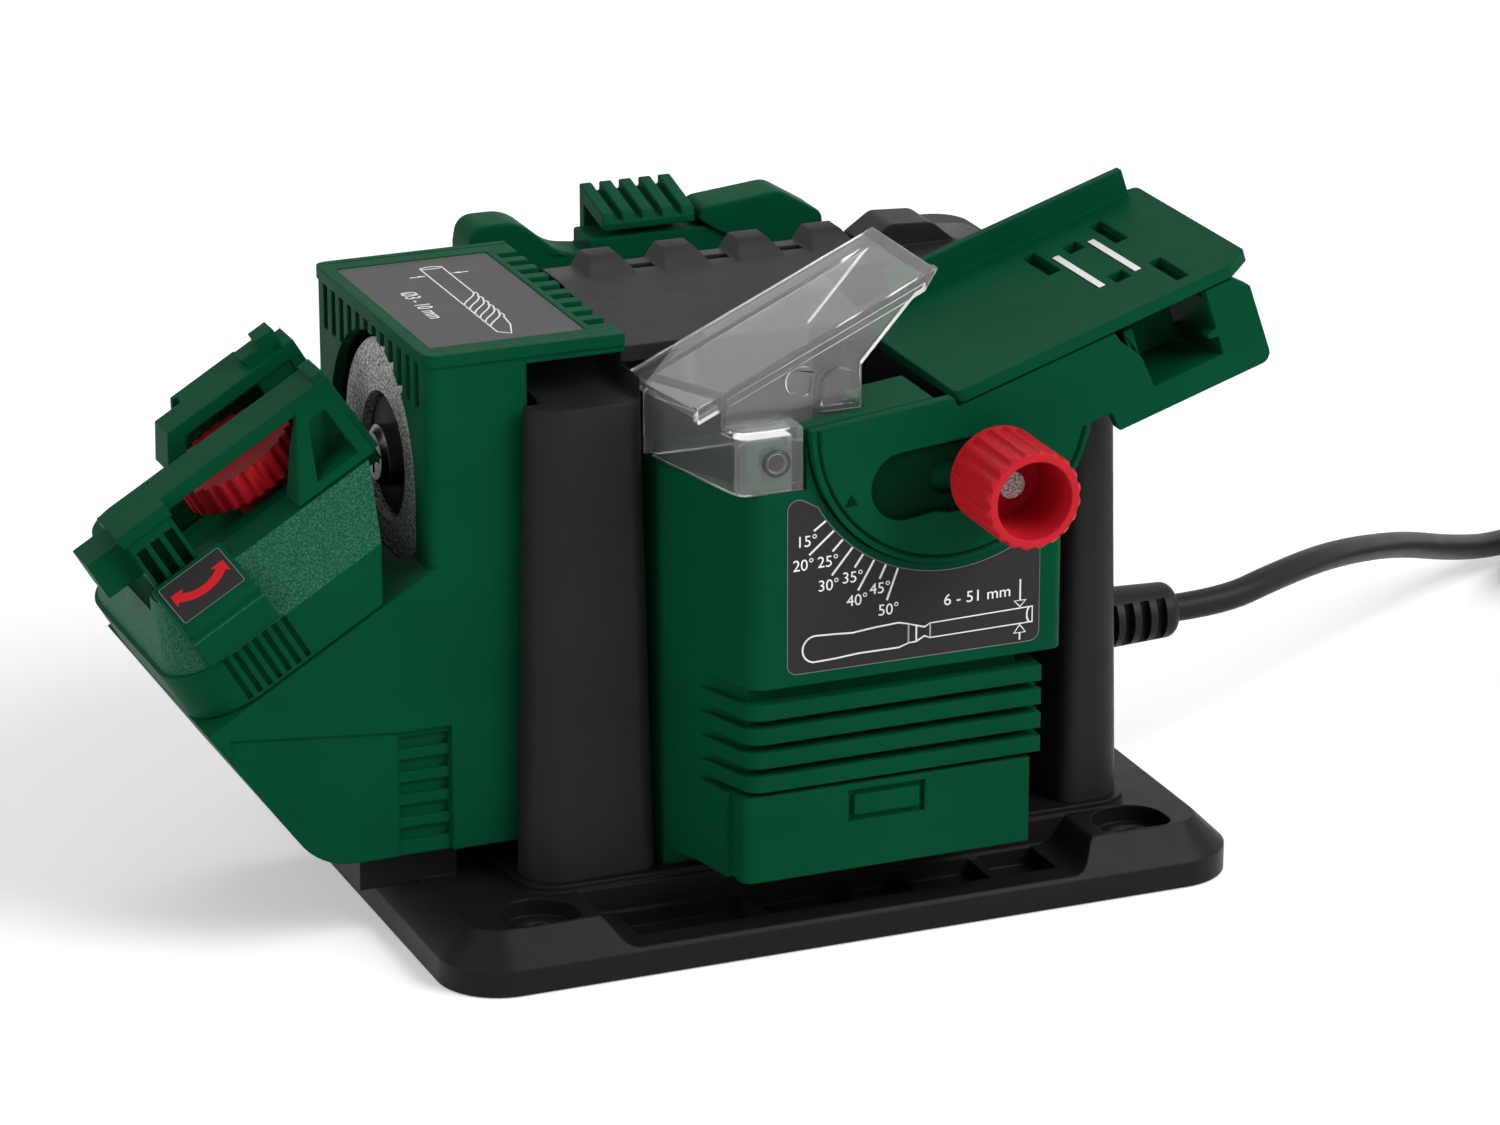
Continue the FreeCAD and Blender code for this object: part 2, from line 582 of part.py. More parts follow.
def drill_holder():
    axis_u = -d.swing_axis
    pin = holder_body("swing_pin")
    add(pin, XY, -17, 3.5, disc(axis_u, 0, d.swing_pin_radius))
    add(pin, XY, -17, -14.05, disc(axis_u, 0, 8))

    block = holder_body("swing_block")
    half = d.holder_half_width
    low = -d.deck_drop + 0.3

    def end_u(n):
        return (d.wheel_face - d.holder_end + deck_sin * n) / deck_cos

    left, right, corner = -67.5, 14, 14
    add(block, XY, low, 1, poly((left, -half, corner), (right, -half), (right, half), (left, half, corner)))
    crown = add(block, XY, 1, 15, poly((left + 1, -half, corner), (right, -half), (right, half),
                                       (left + 1, half, corner)))
    crown.TaperAngle = -26.5
    under, over, past = low - 1, 40, 60
    cut(block, XZ, -half - 1, half + 1, poly((end_u(under), under), (past, under), (past, over),
                                             (end_u(over), over)))
    side = d.channel_half_width
    cut(block, XY, d.channel_floor, over, rect(-61, 30, -side, side))
    pad_front, pad_foot = -half - 2.5, 2
    add(block, YZ, -59, -41, poly((-22, 8), (-22, 16.2), (-35, 11.6, 2.5), (pad_front, 9, 2.5),
                                  (pad_front, pad_foot, 1.2), (-30, pad_foot)))
    cut(block, XY, low - 1, 4, disc(axis_u, 0, d.swing_pin_radius + 0.06))
    cut(block, XY, 2.5, 9, disc(-d.clamp_axis, 0, 2.5))
    finger_ribs = [rect(u, u + 1.2, low + 0.7, 1) for u in [-56 + 2.5 * i for i in range(7)]]
    cut(block, XZ, -half - 1, -half + 1, *finger_ribs)

    clamp_pin = holder_body("clamp_pin")
    add(clamp_pin, XY, 2.5, d.clamp_high, disc(-d.clamp_axis, 0, 2.5))

    wheel = new_body("clamp_wheel", [*deck_frame_spot(-d.clamp_axis)], Vector(0, -1, 0), d.deck_tilt)
    add(wheel, XY, d.clamp_low, d.clamp_high, disc(0, 0, d.clamp_radius), disc(0, 0, 2.55))
    add(wheel, XY, d.channel_floor + 0.3, d.clamp_low + 1, disc(0, 0, 6), disc(0, 0, 2.55))
    flute = cut(wheel, XY, d.clamp_low - 1, d.clamp_high + 1, disc(d.clamp_radius + 0.3, 0, 1.1))
    around(wheel, flute, "Z_Axis", 28)

    near_jaw()
    far_jaw()


def near_jaw():
    """The jaw on the near side: a thin bar on a slotted block, a wedge, and a plate by the wheel."""
    body = holder_body("near_jaw")
    gap, top = d.jaw_gap / 2, d.jaw_top
    inner, outer = -gap - 0.5, -gap - d.jaw_width - 2
    foot, rail, shelf, bar = d.channel_floor + 0.3, -18.2, 15.3, d.jaw_top - 3
    plate_low, plate_high = -5.5, -2.5
    # The wedge, sloped to the front and to the left, and the room the clamp wheel needs beside it.
    reach = -28.5
    add(body, XZ, reach, outer + 0.5, poly((-24, shelf), (-4, shelf), (-4, top - 1.5), (-11.5, top - 1.5)))
    cut(body, YZ, -25, -3, poly((reach - 2, shelf - 2.6), (outer, bar + 0.6), (outer, top + 9),
                                (reach - 2, top + 9)))
    pocket = 1.6
    cut(body, XZ, reach - 1, outer - 1, poly((-17.5, shelf + pocket), (-7, shelf + pocket), (-7, bar - 2),
                                             (-11.4, bar - 2, 2)))
    room, travel = d.clamp_radius + 0.9, 4.5
    cut(body, XY, shelf - 1, d.clamp_high + 1.2, disc(-d.clamp_axis, -travel, room))
    # The bar, its block with three slots, the foot in the channel and the stub at the outer end.
    bar_end, bar_step = -58.5, -46
    block_low, block_high = bar_end + 1, bar_step - 0.5
    add(body, XY, bar, top, poly((bar_end, -21.5), (bar_step, -21.5), (bar_step, outer), (plate_high, outer),
                                 (plate_high, inner), (bar_end, inner)))
    add(body, XY, shelf, bar + 0.5, rect(block_low, block_high, -21, -gap))
    add(body, XY, foot, shelf + 0.5, rect(block_low, block_high, rail, -gap))
    add(body, XY, 19, bar, rect(-66.5, -57, -17, -gap))
    add(body, XY, foot, 14, rect(-57, plate_low + 1, rail, -12))
    cut(body, XZ, -22, -18, *[rect(u - 1.1, u + 1.1, shelf + 0.2, 25.5) for u in (-55.6, -52.1, -48.6)])
    crown = top + 0.8
    add(body, YZ, plate_low, plate_high, poly((inner, foot), (inner, crown), (-16, crown, 1), (-27, shelf),
                                              (rail, shelf), (rail, foot)))


def far_jaw():
    """The jaw on the far side: a thin bar, stepped up to a plate at the wheel's end."""
    body = holder_body("far_jaw")
    gap, top = d.jaw_gap / 2, d.jaw_top
    inner, outer = gap + 0.5, gap + d.jaw_width
    foot, bar, over_clamp = d.channel_floor + 0.3, d.jaw_top - 3, d.clamp_high + 0.8
    add(body, XY, bar, top, rect(-35, -2, inner, outer))
    add(body, XZ, inner, outer, poly((-35, top), (-30, top), (-34.6, over_clamp), (-39.6, over_clamp)))
    add(body, XY, over_clamp, top, rect(-13, -4, gap + 1, outer))
    # A screen beyond the clamp wheel's reach hangs from the bar.
    screen, thick = 19.6, 1.6
    add(body, XZ, screen, screen + thick, poly((-38, 15.4), (-12, 15.4), (-12, top), (-29, top)))
    add(body, XY, bar, top, rect(-28, -12, outer - 1, screen + 1))
    add(body, XZ, gap + 4, outer, poly((-13, top - 1), (-13, top + 2), (-8, top + 2), (-8, top + 3.6),
                                       (-3.5, top + 3.6), (-3.5, top - 1)))
    add(body, YZ, -4.5, -1.5, poly((inner, foot), (outer + 2, foot), (outer + 2, 15), (outer, top + 0.5, 1),
                                   (inner, top + 0.5)))
    add(body, XY, foot, 14, rect(-50, -3, 12, outer + 2.2))


def deck_frame_spot(u):
    """The point of the holder's frame at u on its base line, as a place for a body turned about it."""
    x, z = deck_point(u, 0)
    return x, as_size(0), z


def chisel_housing():
    body = new_body("chisel_housing")
    front, back = -d.chisel_front, -d.chisel_back
    low, neck, high = d.chisel_low, d.fin_low - 1, d.fin_high
    shoulder = d.chisel_shoulder
    left, right, deep = -36.4, 45.5, 4
    flank = [(left, -46), (-32, -56)]
    add(body, XY, low, neck, poly((left, back), *flank, (-30, -66), (-28.5, -66), (-28.5, front, 2.5),
                                  (38, front), (38, back)))
    add(body, XY, d.lip_height, low + 2, rect(left, 38, -46, back))
    add(body, XY, neck - 0.5, high + 1, poly((left, back), *flank, (-29.5, -58.5), (-25.5, front + deep),
                                             (36, front + deep), (36, back)))
    for z in [d.fin_low + i * d.fin_pitch for i in range(4)]:
        add(body, XY, z, z + d.fin_height, poly((-32, -56), (-26.6, front, deep), (40.5, front), (40.5, -50),
                                                (30, -40), (-24, -56)))
    add(body, XY, high, shoulder, poly((left, back), *flank, (-26, front, deep), (right, front, 3),
                                       (right, back)))
    add(body, XY, shoulder - 1, 116, rect(-14.2, right, front, -67))
    add(body, XY, shoulder - 1, 114, rect(-24, -17, -69.5, -63.5))
    wall = 3
    cut(body, XY, high + 4, 120, poly((left + wall, back - wall), (left + wall, -45), (-29, -55), (-25, -63),
                                      (12, -63), (12, back - wall)))
    cut(body, XZ, -67, back + 1, rect(15, right - wall, high + 3, shoulder - wall))
    cut(body, XZ, -65, back + 1, rect(-26.5, 33, low + wall, neck - 1))
    # The flange behind the plate rises to the right; beside the guard it is only a lip.
    lip_left, flange_left, flange_right, flange_back = -14.2, 1.2, 15.2, -54
    rise = 0.108

    def flange_top(x):
        return 117.8 + (x + 15) * rise

    plate_gap = -d.plate_back + 0.3
    for x, y in ((lip_left, -66.1), (flange_left, flange_back)):
        add(body, XZ, plate_gap, y, poly((x, shoulder - 1), (flange_right, shoulder - 1),
                                         (flange_right, flange_top(flange_right)), (x, flange_top(x))))
    cut(body, XZ, front - 1, plate_gap, disc(d.dial_x, d.dial_z, d.dial_radius + 0.4))
    cut(body, XZ, -75, -64, disc(d.knob_x, d.knob_z, d.stud_radius))
    cut(body, XZ, front - 1, front + 1.2, rect(-4.3, 13.4, 28.9, 36))
    add(body, XZ, front, front + 2, rect(-3, 12.2, 30.2, 34.7))

    stud = new_body("knob_stud", (d.knob_x, 0, d.knob_z))
    add(stud, XZ, -87.5, -64, disc(0, 0, d.stud_radius))


def angle_plate():
    body = table_body("angle_plate")
    back = -d.plate_back
    face = back - d.plate_thickness
    add(body, XZ, face, back, disc(0, 0, d.dial_radius))
    cut(body, XZ, face - 1, face + 0.4, disc(0, 0, d.dial_radius - 1.2), disc(0, 0, d.dial_radius - 2))
    cut(body, XZ, face - 1, back + 1, poly((-46, 13.5), (1.4, 3.8), (1.4, 1.6), (46, 1), (46, 60), (-46, 60)))
    top, foot, neck = 1.6, -19.7, -15
    add(body, XZ, face, back, poly((1.4, top), (68.4, top, 1.5), (71.6, -1.6, 1.5), (71.9, foot, 2.5),
                                   (34.1, foot, 0.8), (33.6, neck, 0.8), (0, neck)))
    # The notch takes the table's runner; a small hook stands out of its right side.
    floor, left, right, hook = -13.6, 44.4, 61.4, -8.4
    hook_tip = 59.2
    cut(body, XZ, face - 1, back + 1,
        poly((38.8, top + 2), (40.2, -0.8), (43.7, -6.2, 3), (left, -12.6), (left, floor), (right, floor),
             (right, hook - 1), (hook_tip, hook - 0.6), (hook_tip, hook + 0.6), (right, hook + 1),
             (right, top + 2)))
    thick, rim = 2.2, -0.4
    add(body, XZ, back, -49.5, poly((left - thick, rim), (left - thick, floor - thick),
                                    (right + thick, floor - thick), (right + thick, rim), (right, rim),
                                    (right, floor), (left, floor), (left, rim)))
    # The lock screw stays put while the plate turns, so its slot is an arc about the dial's middle.
    tilt = math.radians(d.table_tilt.value)
    dx, dz = d.knob_x.value - d.dial_x.value, d.knob_z.value - d.dial_z.value
    reach, start = math.hypot(dx, dz), math.atan2(dz, dx) - tilt
    steps = 6
    sweep = math.radians(35)
    spots = [start - sweep * i / steps for i in range(steps + 1)]
    for radius, depth in ((7.2, 1.5), (d.stud_radius.value + 0.6, d.plate_thickness.value + 1)):
        for angle in spots:
            spot = reach * math.cos(angle), reach * math.sin(angle)
            cut(body, XZ, face - 1, face + depth, disc(*spot, radius))
    # The thumb rest: a round recess that tapers toward the lock knob.
    cut(body, XZ, face - 1, face + 1.5, disc(-15, -9.9, 7.5))
    cut(body, XZ, face - 1, face + 1.5, poly((-13.5, -2.5), (-16.5, -17.2), (1.8, -20.3), (4.6, -6.6)))


def chisel_table():
    body = table_body("chisel_tray")
    front, back = -d.table_front, -d.table_front + d.table_width
    low = d.table_gap
    high = low + d.table_thick
    end = d.table_length
    left = 1.8
    add(body, XY, low, high, poly((left, front, 2), (end - 6, front, 1.5), (end, front + 4.5, 1.5),
                                  (end, back, 2), (left, back)))
    add(body, XY, high - 1, high + 6, rect(12, end - 3, back - 2.4, back))
    long_holes = [rect(a - 1.5, a + 1.5, y, y + 14) for a, y in ((42, -40.4), (59, -39.8), (59, -69.5))]
    short_holes = [rect(48.6, 52.2, y, y + 5) for y in (-35, -58)]
    strip_slots = [rect(a - 0.8, a + 0.8, -57, -33.5) for a in (45.6, 54.4)]
    cut(body, XY, low - 1, high + 1, *long_holes, *short_holes)
    cut(body, XY, high - 1.5, high + 1, *strip_slots)
    runner_low = -13.2
    add(body, XZ, -58, -52, rect(45.4, 58.6, runner_low, low + 0.5))
    strips = table_body("tray_strips")
    add(strips, XY, high - 1.5, high + 0.25, *strip_slots)


def lock_knob():
    body = new_body("lock_knob", (d.knob_x, 0, d.knob_z))
    r, bore = d.knob_radius, d.stud_radius + 0.06
    turn(body, XY, "V_Axis", poly((bore, -72.5), (5, -72.5), (5, -78), (r - 1, -79), (r, -80), (r, -98),
                                  (r - 0.7, -98.7), (r - 2.3, -98.7), (r - 2.7, -82.5), (bore, -82.5)))
    flute = cut(body, XZ, -99.5, -81, disc(r + 0.6, 0, 1.3))
    around(body, flute, "Y_Axis", 20)


def clear_guard():
    body = new_body("clear_guard")
    low, wall = d.chisel_shoulder, d.guard_wall
    front, rear, mouth = -d.chisel_front, -36.8, -65.8
    band_top, left, right, past = 119, -37, 0.8, 22
    nose_right, nose_left = -15, -29.4
    mouth_left = -30.75
    add(body, XY, low, band_top, poly((left, rear), (nose_left, front, 3.5), (nose_right, front),
                                      (nose_right, mouth), (right, mouth), (right, rear)))
    # The hood stands on the band's rear part, under a roof that rises to the right.
    roof_foot, roof_slope = 121.5, 0.4516

    def roof_at(x):
        return roof_foot + (x + 40) * roof_slope

    add(body, XY, band_top - 1, 150, poly((left, rear), (mouth_left, mouth), (past, mouth), (past, rear)))
    tip, clear_left, clear_right = 17.7, -45, past + 9
    cut(body, XZ, mouth - 1, rear + 1,
        poly((clear_left, roof_at(clear_left)), (clear_right, roof_at(clear_right)), (clear_right, 170),
             (clear_left, 170)))
    cut(body, XZ, mouth - 1, rear + 1, poly((right, band_top - 2), (right, 128.8), (tip, roof_at(tip)),
                                            (clear_right, roof_at(clear_right)), (clear_right, band_top - 2)))
    inner_front, inner_rear = mouth + wall, rear - wall
    cut(body, XY, low - 1, band_top - wall, poly((-34.5, inner_rear), (-27.8, front + wall, 1.5),
                                                 (nose_right - wall, front + wall),
                                                 (nose_right - wall, inner_front), (3, inner_front),
                                                 (3, inner_rear)))
    cut(body, XY, band_top - wall - 1, 160, poly((-34.5, inner_rear), (-29.1, inner_front), (30, inner_front),
                                                 (30, inner_rear)))
    # The roof overhangs the hood to the left and the back; a rim runs along its front edge.
    eave, roof_back, rim_front, rim_left = -39.4, -32, mouth - 0.8, -36.4
    add(body, XZ, mouth, roof_back, poly((eave, roof_at(eave) - wall), (eave, roof_at(eave)),
                                         (tip, roof_at(tip)), (tip - 1.6, roof_at(tip) - wall - 0.7)))
    add(body, XZ, rim_front, inner_front,
        poly((rim_left, roof_at(rim_left) - 3), (rim_left, roof_at(rim_left) + 0.5), (tip, roof_at(tip) + 0.5),
             (tip - 3, roof_at(tip - 3) - 3)))
    cut(body, XY, band_top, 130, poly((clear_left, rim_front - 1), (rim_left, rim_front - 1),
                                      (rim_left, mouth), (eave, roof_back), (clear_left, roof_back)))
    # A round boss and a half-round tab on the mouth's wall.
    boss, tab_foot, tab_top, tab_round = 1.2, band_top + 0.8, 128.6, 4.2
    add(body, XZ, mouth - boss, mouth + 0.5, disc(-13.4, 126.9, 3.3))
    add(body, XZ, mouth - boss, mouth + 0.5, poly((-8.5, tab_foot), (0.1, tab_foot), (0.1, tab_top, tab_round),
                                                  (-8.5, tab_top, tab_round)))
    pin_x, pin_z, shank = -21.1, 111.7, 2
    cut(body, XZ, front - 3, front + 3, disc(pin_x, pin_z, shank))
    pin = new_body("guard_pin", (pin_x, 0, pin_z))
    turn(pin, XY, "V_Axis", poly((0, -72.9), (2.6, -72.9), (3, -72.5), (3, front), (shank, front),
                                 (shank, -69.5), (0, -69.5)))


def knife_housing():
    body = new_body("knife_housing")
    back, half, top = d.knife_back, d.knife_half, d.knife_top
    inner = d.chisel_back
    neck, step, slope = 36, 46.8, 6
    add(body, XY, d.chisel_low, top,
        poly((-neck, inner), (neck, inner), (neck, step), (half, step + 1.8), (half, back - slope),
             (half - slope, back), (slope - half, back), (-half, back - slope), (-half, step + 1.8),
             (-neck, step)))
    add(body, XY, d.lip_height, d.chisel_low + 1, rect(-neck, neck, inner, 46))
    wall = 3
    cut(body, XZ, inner - 1, back - wall, rect(-33, 33, d.chisel_low + wall, top - wall))
    fins = [rect(-28, 28, z, z + 2) for z in [40 + 5.4 * i for i in range(4)]]
    cut(body, XZ, back - 2, back + 1, *fins)
    foot = top - 1
    wing_front, wing_back = 46, 57.5
    add(body, XZ, wing_front, wing_back, poly((-46, foot), (-46, 127.4), (-45, 133, 4), (-34, 133, 10),
                                              (-24, 124.6, 10), (-16, 123.6), (-16, foot)))
    add(body, XZ, wing_front, wing_back, poly((8.8, 129), (10.6, 131.6, 3), (29, 133.4, 5), (39.6, 127, 3),
                                              (39.6, foot), (20, foot), (16.6, 124, 4), (11.5, 127)))
    add(body, XZ, wing_front + 1, wing_back, rect(-17, 18, foot, 126.8))
    tab = new_body("knife_latch")
    tab_left, tab_right, rib = -14, 8, 3
    add(tab, YZ, tab_left, tab_right, poly((45.5, 128.5), (58, 131.5), (58, top), (61, top), (61, 133.9),
                                           (45.5, 130.3)))
    for x in [tab_left + 4.75 * i for i in range(5)]:
        add(tab, YZ, x, x + rib, poly((45.5, 129.9), (61, 133.5), (61, 135.9), (46.5, 132.3)))


def switch_outline():
    return rect(d.switch_y - 6.5, d.switch_y + 6.5, d.switch_z - 9.5, d.switch_z + 9.5)


def switch():
    y, z, face = d.switch_y, d.switch_z, d.switch_face
    pivot = face - 5
    frame = new_body("switch_body")
    add(frame, YZ, d.switch_back, face - 2, switch_outline())
    cut(frame, YZ, face - 9, face, rect(y - 4.8, y + 4.8, z - 8.2, z + 8.2))
    cut(frame, XZ, y - 5.7, y + 5.7, disc(pivot, z, 1.26))
    rocker = new_body("switch_rocker")
    add(rocker, XZ, y - 4.4, y + 4.4, poly((face - 7, z - 4), (face - 7, z + 4), (face - 1.6, z + 6.5),
                                           (face - 2.4, z), (face + 0.4, z - 6.5)))
    add(rocker, XZ, y - 5.6, y + 5.6, disc(pivot, z, 1.2))


def cord_grip():
    body = new_body("cord_grip", (0, d.cord_y, d.cord_z))
    end, wall = d.grip_end, d.body_right
    # A flange inside the wall, a groove through it, a collar outside and a tapered sleeve.
    groove, flange, collar = 5.9, 8, 9
    inner_end, inner_face, outer_face = wall - 7.5, wall - 5.3, wall - 0.2
    turn(body, XZ, "H_Axis", poly((inner_end, 0), (inner_end, flange), (inner_face, flange),
                                  (inner_face, groove), (outer_face, groove), (outer_face, collar),
                                  (wall + 2.5, collar), (wall + 2.5, 7.2), (end - 1, 6.3, 2.6), (end, 3.4),
                                  (end, 0)))
    slot_width, slot_pitch, spine = 2.35, 4.1, 4.6
    for x in [77 + slot_pitch * i for i in range(5)]:
        cut(body, XY, -9, spine, rect(x, x + slot_width, -9, -3.6), rect(x, x + slot_width, 3.6, 9))


def foot_screw_holes(grow=0):
    """The outlines of the four screws that hold the base to the housing's corner pillars."""
    return [disc(x, y, d.screw_radius + grow) for x in (-54, 64.5) for y in (-40, 40)]


def foot_screws():
    body = new_body("base_screws")
    under = d.base_hollow
    add(body, XY, under, d.screw_top - 1, *foot_screw_holes())
    add(body, XY, under - 2.4, under, *foot_screw_holes(grow=1.8))


def round_tube(path, radius):
    """A round tube swept along a wire."""
    start = path.Edges[0]
    heading = start.tangentAt(start.FirstParameter)
    ring = Part.Wire([Part.Circle(start.valueAt(start.FirstParameter), heading, radius).toShape()])
    return path.makePipeShell([ring], True, False)


def eased_path(points):
    """Straight runs joined by tangent arcs, each as large as its two runs allow."""
    share = 0.45
    edges, radii, here = [], [], points[0]
    for before, corner, after in zip(points, points[1:], points[2:]):
        back, ahead = (before - corner), (after - corner)
        reach = share * min(back.Length, ahead.Length)
        back.normalize()
        ahead.normalize()
        half_turn = (math.pi - back.getAngle(ahead)) / 2
        radius = reach / math.tan(half_turn)
        radii.append(round(radius, 1))
        enter, leave = corner + back * reach, corner + ahead * reach
        inward = (back + ahead).normalize()
        middle = corner + inward * (radius / math.cos(half_turn) - radius)
        edges.append(Part.LineSegment(here, enter).toShape())
        edges.append(Part.Arc(enter, middle, leave).toShape())
        here = leave
    edges.append(Part.LineSegment(here, points[-1]).toShape())
    print("cord radii:", radii)
    return Part.Wire(edges)


def least_gap(path, radius):
    """The smallest clear space between turns of a tube, measured on points along its middle."""
    spots = path.discretize(Distance=radius)
    apart = 6
    gap = min((a - b).Length for i, a in enumerate(spots) for b in spots[i + apart:])
    return gap - 2 * radius


# The lead leaves the grip, comes down to the table to the right and runs into a neat coil.
CORD_ROUTE = [(113, -15, 43.5), (127.5, -10.5, 45.6), (146, 0.5, 44.4), (167, 18, 38.2), (190, 40.5, 28.6),
              (214.5, 64, 16.6), (238, 84, 7.2), (259, 96.85, 4.1)]
COIL_START = (282.5, 99.9)
COIL_HEADING = 7.4
COIL_TURNS_PER_LAYER = 3


def coil_path():
    """Half turns that spiral in on the table, climb one layer and spiral out again."""
    heading = Rotation(Vector(0, 0, 1), COIL_HEADING).multVec(Vector(1, 0, 0))
    outward = Rotation(Vector(0, 0, 1), 90).multVec(heading)
    pitch, lift = d.coil_pitch.value, d.cord_radius.value + d.coil_lift.value
    middle = Vector(*COIL_START, 0) - outward * d.coil_radius.value
    half_turns = 2 * COIL_TURNS_PER_LAYER
    reach = [d.coil_radius.value - pitch / 2 * i for i in range(half_turns + 2)]
    step_out = 1.25 * pitch
    reach.append(reach[-1] + step_out)
    while len(reach) < 2 * half_turns + 2:
        reach.append(reach[-1] + pitch / 2)
    nodes = []
    for i, far in enumerate(reach):
        height = lift if i <= half_turns else lift + pitch
        nodes.append(middle + outward * ((-1) ** i * far) + Vector(0, 0, height))
    stub, tail_length = 2 * d.cord_radius.value, d.coil_tail.value
    edges = [Part.LineSegment(nodes[0] - heading * stub, nodes[0]).toShape()]
    for i, (a, b) in enumerate(zip(nodes, nodes[1:])):
        side = heading * ((-1) ** i)
        edges.append(Part.Arc(a, (a + b) / 2 + side * ((b - a).Length / 2), b).toShape())
    tail = nodes[-1] - heading * tail_length
    edges.append(Part.LineSegment(nodes[-1], tail).toShape())
    return Part.Wire(edges), nodes[0] - heading * stub, tail, middle


def mains_lead():
    radius = d.cord_radius.value
    coil, coil_in, coil_out, middle = coil_path()
    start = Vector(d.grip_end.value, d.cord_y.value, d.cord_z.value)
    run = eased_path([start] + [Vector(*spot) for spot in CORD_ROUTE] + [coil_in])
    for label, path in (("power_cord", run), ("cord_coil", coil)):
        tube = shape_piece(label, round_tube(path, radius)).Shape
        plain = math.pi * radius ** 2 * path.Length
        share = tube.Volume / plain
        print(f"{label}: length {path.Length:.1f}, volume over section times length {share:.4f}")
    print(f"cord_coil: least gap {least_gap(coil, radius):.2f}")

    up = Vector(0, 0, 1)
    tie = new_body("cord_tie", (middle.x, middle.y, 0), up, as_size(COIL_HEADING))
    inner, outer, low, high, band = 24, 48.7, 0.85, 14.6, 0.8
    add(tie, XZ, -2.5, 2.5, rect(-outer - band, -inner + band, low - band, high + band),
        rect(-outer, -inner, low, high))

    plug_turn = as_size(COIL_HEADING + 180)
    plug_at = (coil_out.x, coil_out.y, coil_out.z)
    plug = new_body("power_plug", plug_at, up, plug_turn)
    half = coil_out.z - 0.05
    turn(plug, XZ, "H_Axis", poly((0, 0), (0, 4.6), (14, 6.4), (14, 0)))
    add(plug, XZ, -13, 13, poly((13, -6), (20, -half), (46, -half), (46, half), (20, half), (13, 6)))
    soften(plug, 5, (33, -13, half), (33, 13, half), (33, -13, -half), (33, 13, -half))
    pins = new_body("plug_pins", plug_at, up, plug_turn)
    add(pins, YZ, 46, 64, *[disc(y, 0, 2.4) for y in (-9.5, 9.5)])


MAIN = (base_plate, motor_housing, top_cover, motor_internals, wheel_end, drill_housing, drill_holder,
        chisel_housing, angle_plate, chisel_table, lock_knob, clear_guard, knife_housing, switch, foot_screws,
        cord_grip, mains_lead)


def main():
    for make in MAIN:
        make()
        doc.recompute()
    failed = [item.Name for item in doc.Objects if "Invalid" in item.State or "Error" in item.State]
    for label, item in pieces.items():
        if item.Shape.isNull() or not item.Shape.isValid():
            failed.append(label)
    if failed:
        raise RuntimeError(f"These objects failed: {failed}")
    os.makedirs("parts", exist_ok=True)
    for label, item in pieces.items():
        item.Shape.exportStep(f"parts/{label}.step")
        print(f"{label}: {len(item.Shape.Solids)} solids, {item.Shape.Volume / 1000:.1f} cm3")


main()
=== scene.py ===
"""Looks of the sharpening station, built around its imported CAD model. Metres, +Z up."""
import json
import math

import bmesh
import bpy
from mathutils import Matrix, Vector

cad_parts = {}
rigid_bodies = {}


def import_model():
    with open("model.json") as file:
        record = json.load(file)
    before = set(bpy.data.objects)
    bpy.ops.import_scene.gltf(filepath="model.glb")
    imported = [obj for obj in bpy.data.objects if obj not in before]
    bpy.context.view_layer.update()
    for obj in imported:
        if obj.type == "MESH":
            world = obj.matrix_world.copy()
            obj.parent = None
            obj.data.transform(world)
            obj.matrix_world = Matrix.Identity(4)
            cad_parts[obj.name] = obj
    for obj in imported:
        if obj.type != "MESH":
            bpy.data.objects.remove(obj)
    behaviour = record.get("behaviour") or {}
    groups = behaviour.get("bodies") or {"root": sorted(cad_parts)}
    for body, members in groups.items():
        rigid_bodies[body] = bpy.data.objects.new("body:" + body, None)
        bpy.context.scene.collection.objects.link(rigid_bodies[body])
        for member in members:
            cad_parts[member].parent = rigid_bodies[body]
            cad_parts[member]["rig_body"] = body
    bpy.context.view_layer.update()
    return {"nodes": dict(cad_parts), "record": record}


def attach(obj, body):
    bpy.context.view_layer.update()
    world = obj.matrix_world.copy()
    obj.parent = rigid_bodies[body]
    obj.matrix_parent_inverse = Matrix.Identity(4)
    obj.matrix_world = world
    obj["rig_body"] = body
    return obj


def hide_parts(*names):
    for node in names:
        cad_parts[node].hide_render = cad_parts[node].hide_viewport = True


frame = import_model()
nodes = frame["nodes"]
MM = 0.001
SMOOTH_BELOW = math.radians(38)


# Small helpers

def mm(x, y, z):
    return Vector((x, y, z)) * MM


def only(*objects):
    """Select these objects alone and make the first one active."""
    bpy.ops.object.select_all(action="DESELECT")
    for item in objects:
        item.select_set(True)
    bpy.context.view_layer.objects.active = objects[0]


def joined(name, parts):
    only(*parts)
    if len(parts) > 1:
        bpy.ops.object.join()
    parts[0].name = name
    return parts[0]


def paint(item, *finishes):
    item.data.materials.clear()
    for finish in finishes:
        item.data.materials.append(finish)


def add_piece(item, body):
    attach(item, body)


# Camera, floor and light

VIEW_YAW, VIEW_PITCH = math.radians(22.4), math.radians(19.7)
CAMERA_AT = mm(-475.22, -1159.42, 511.80)
FLOOR_SIZE, FLOOR_DROP = 14, 0.0003
FLOOR_WHITE, FLOOR_GLOW, WORLD_LIGHT = 0.93, 0.3, 0.3
LIGHT_AIM = mm(-10, 0, 70)


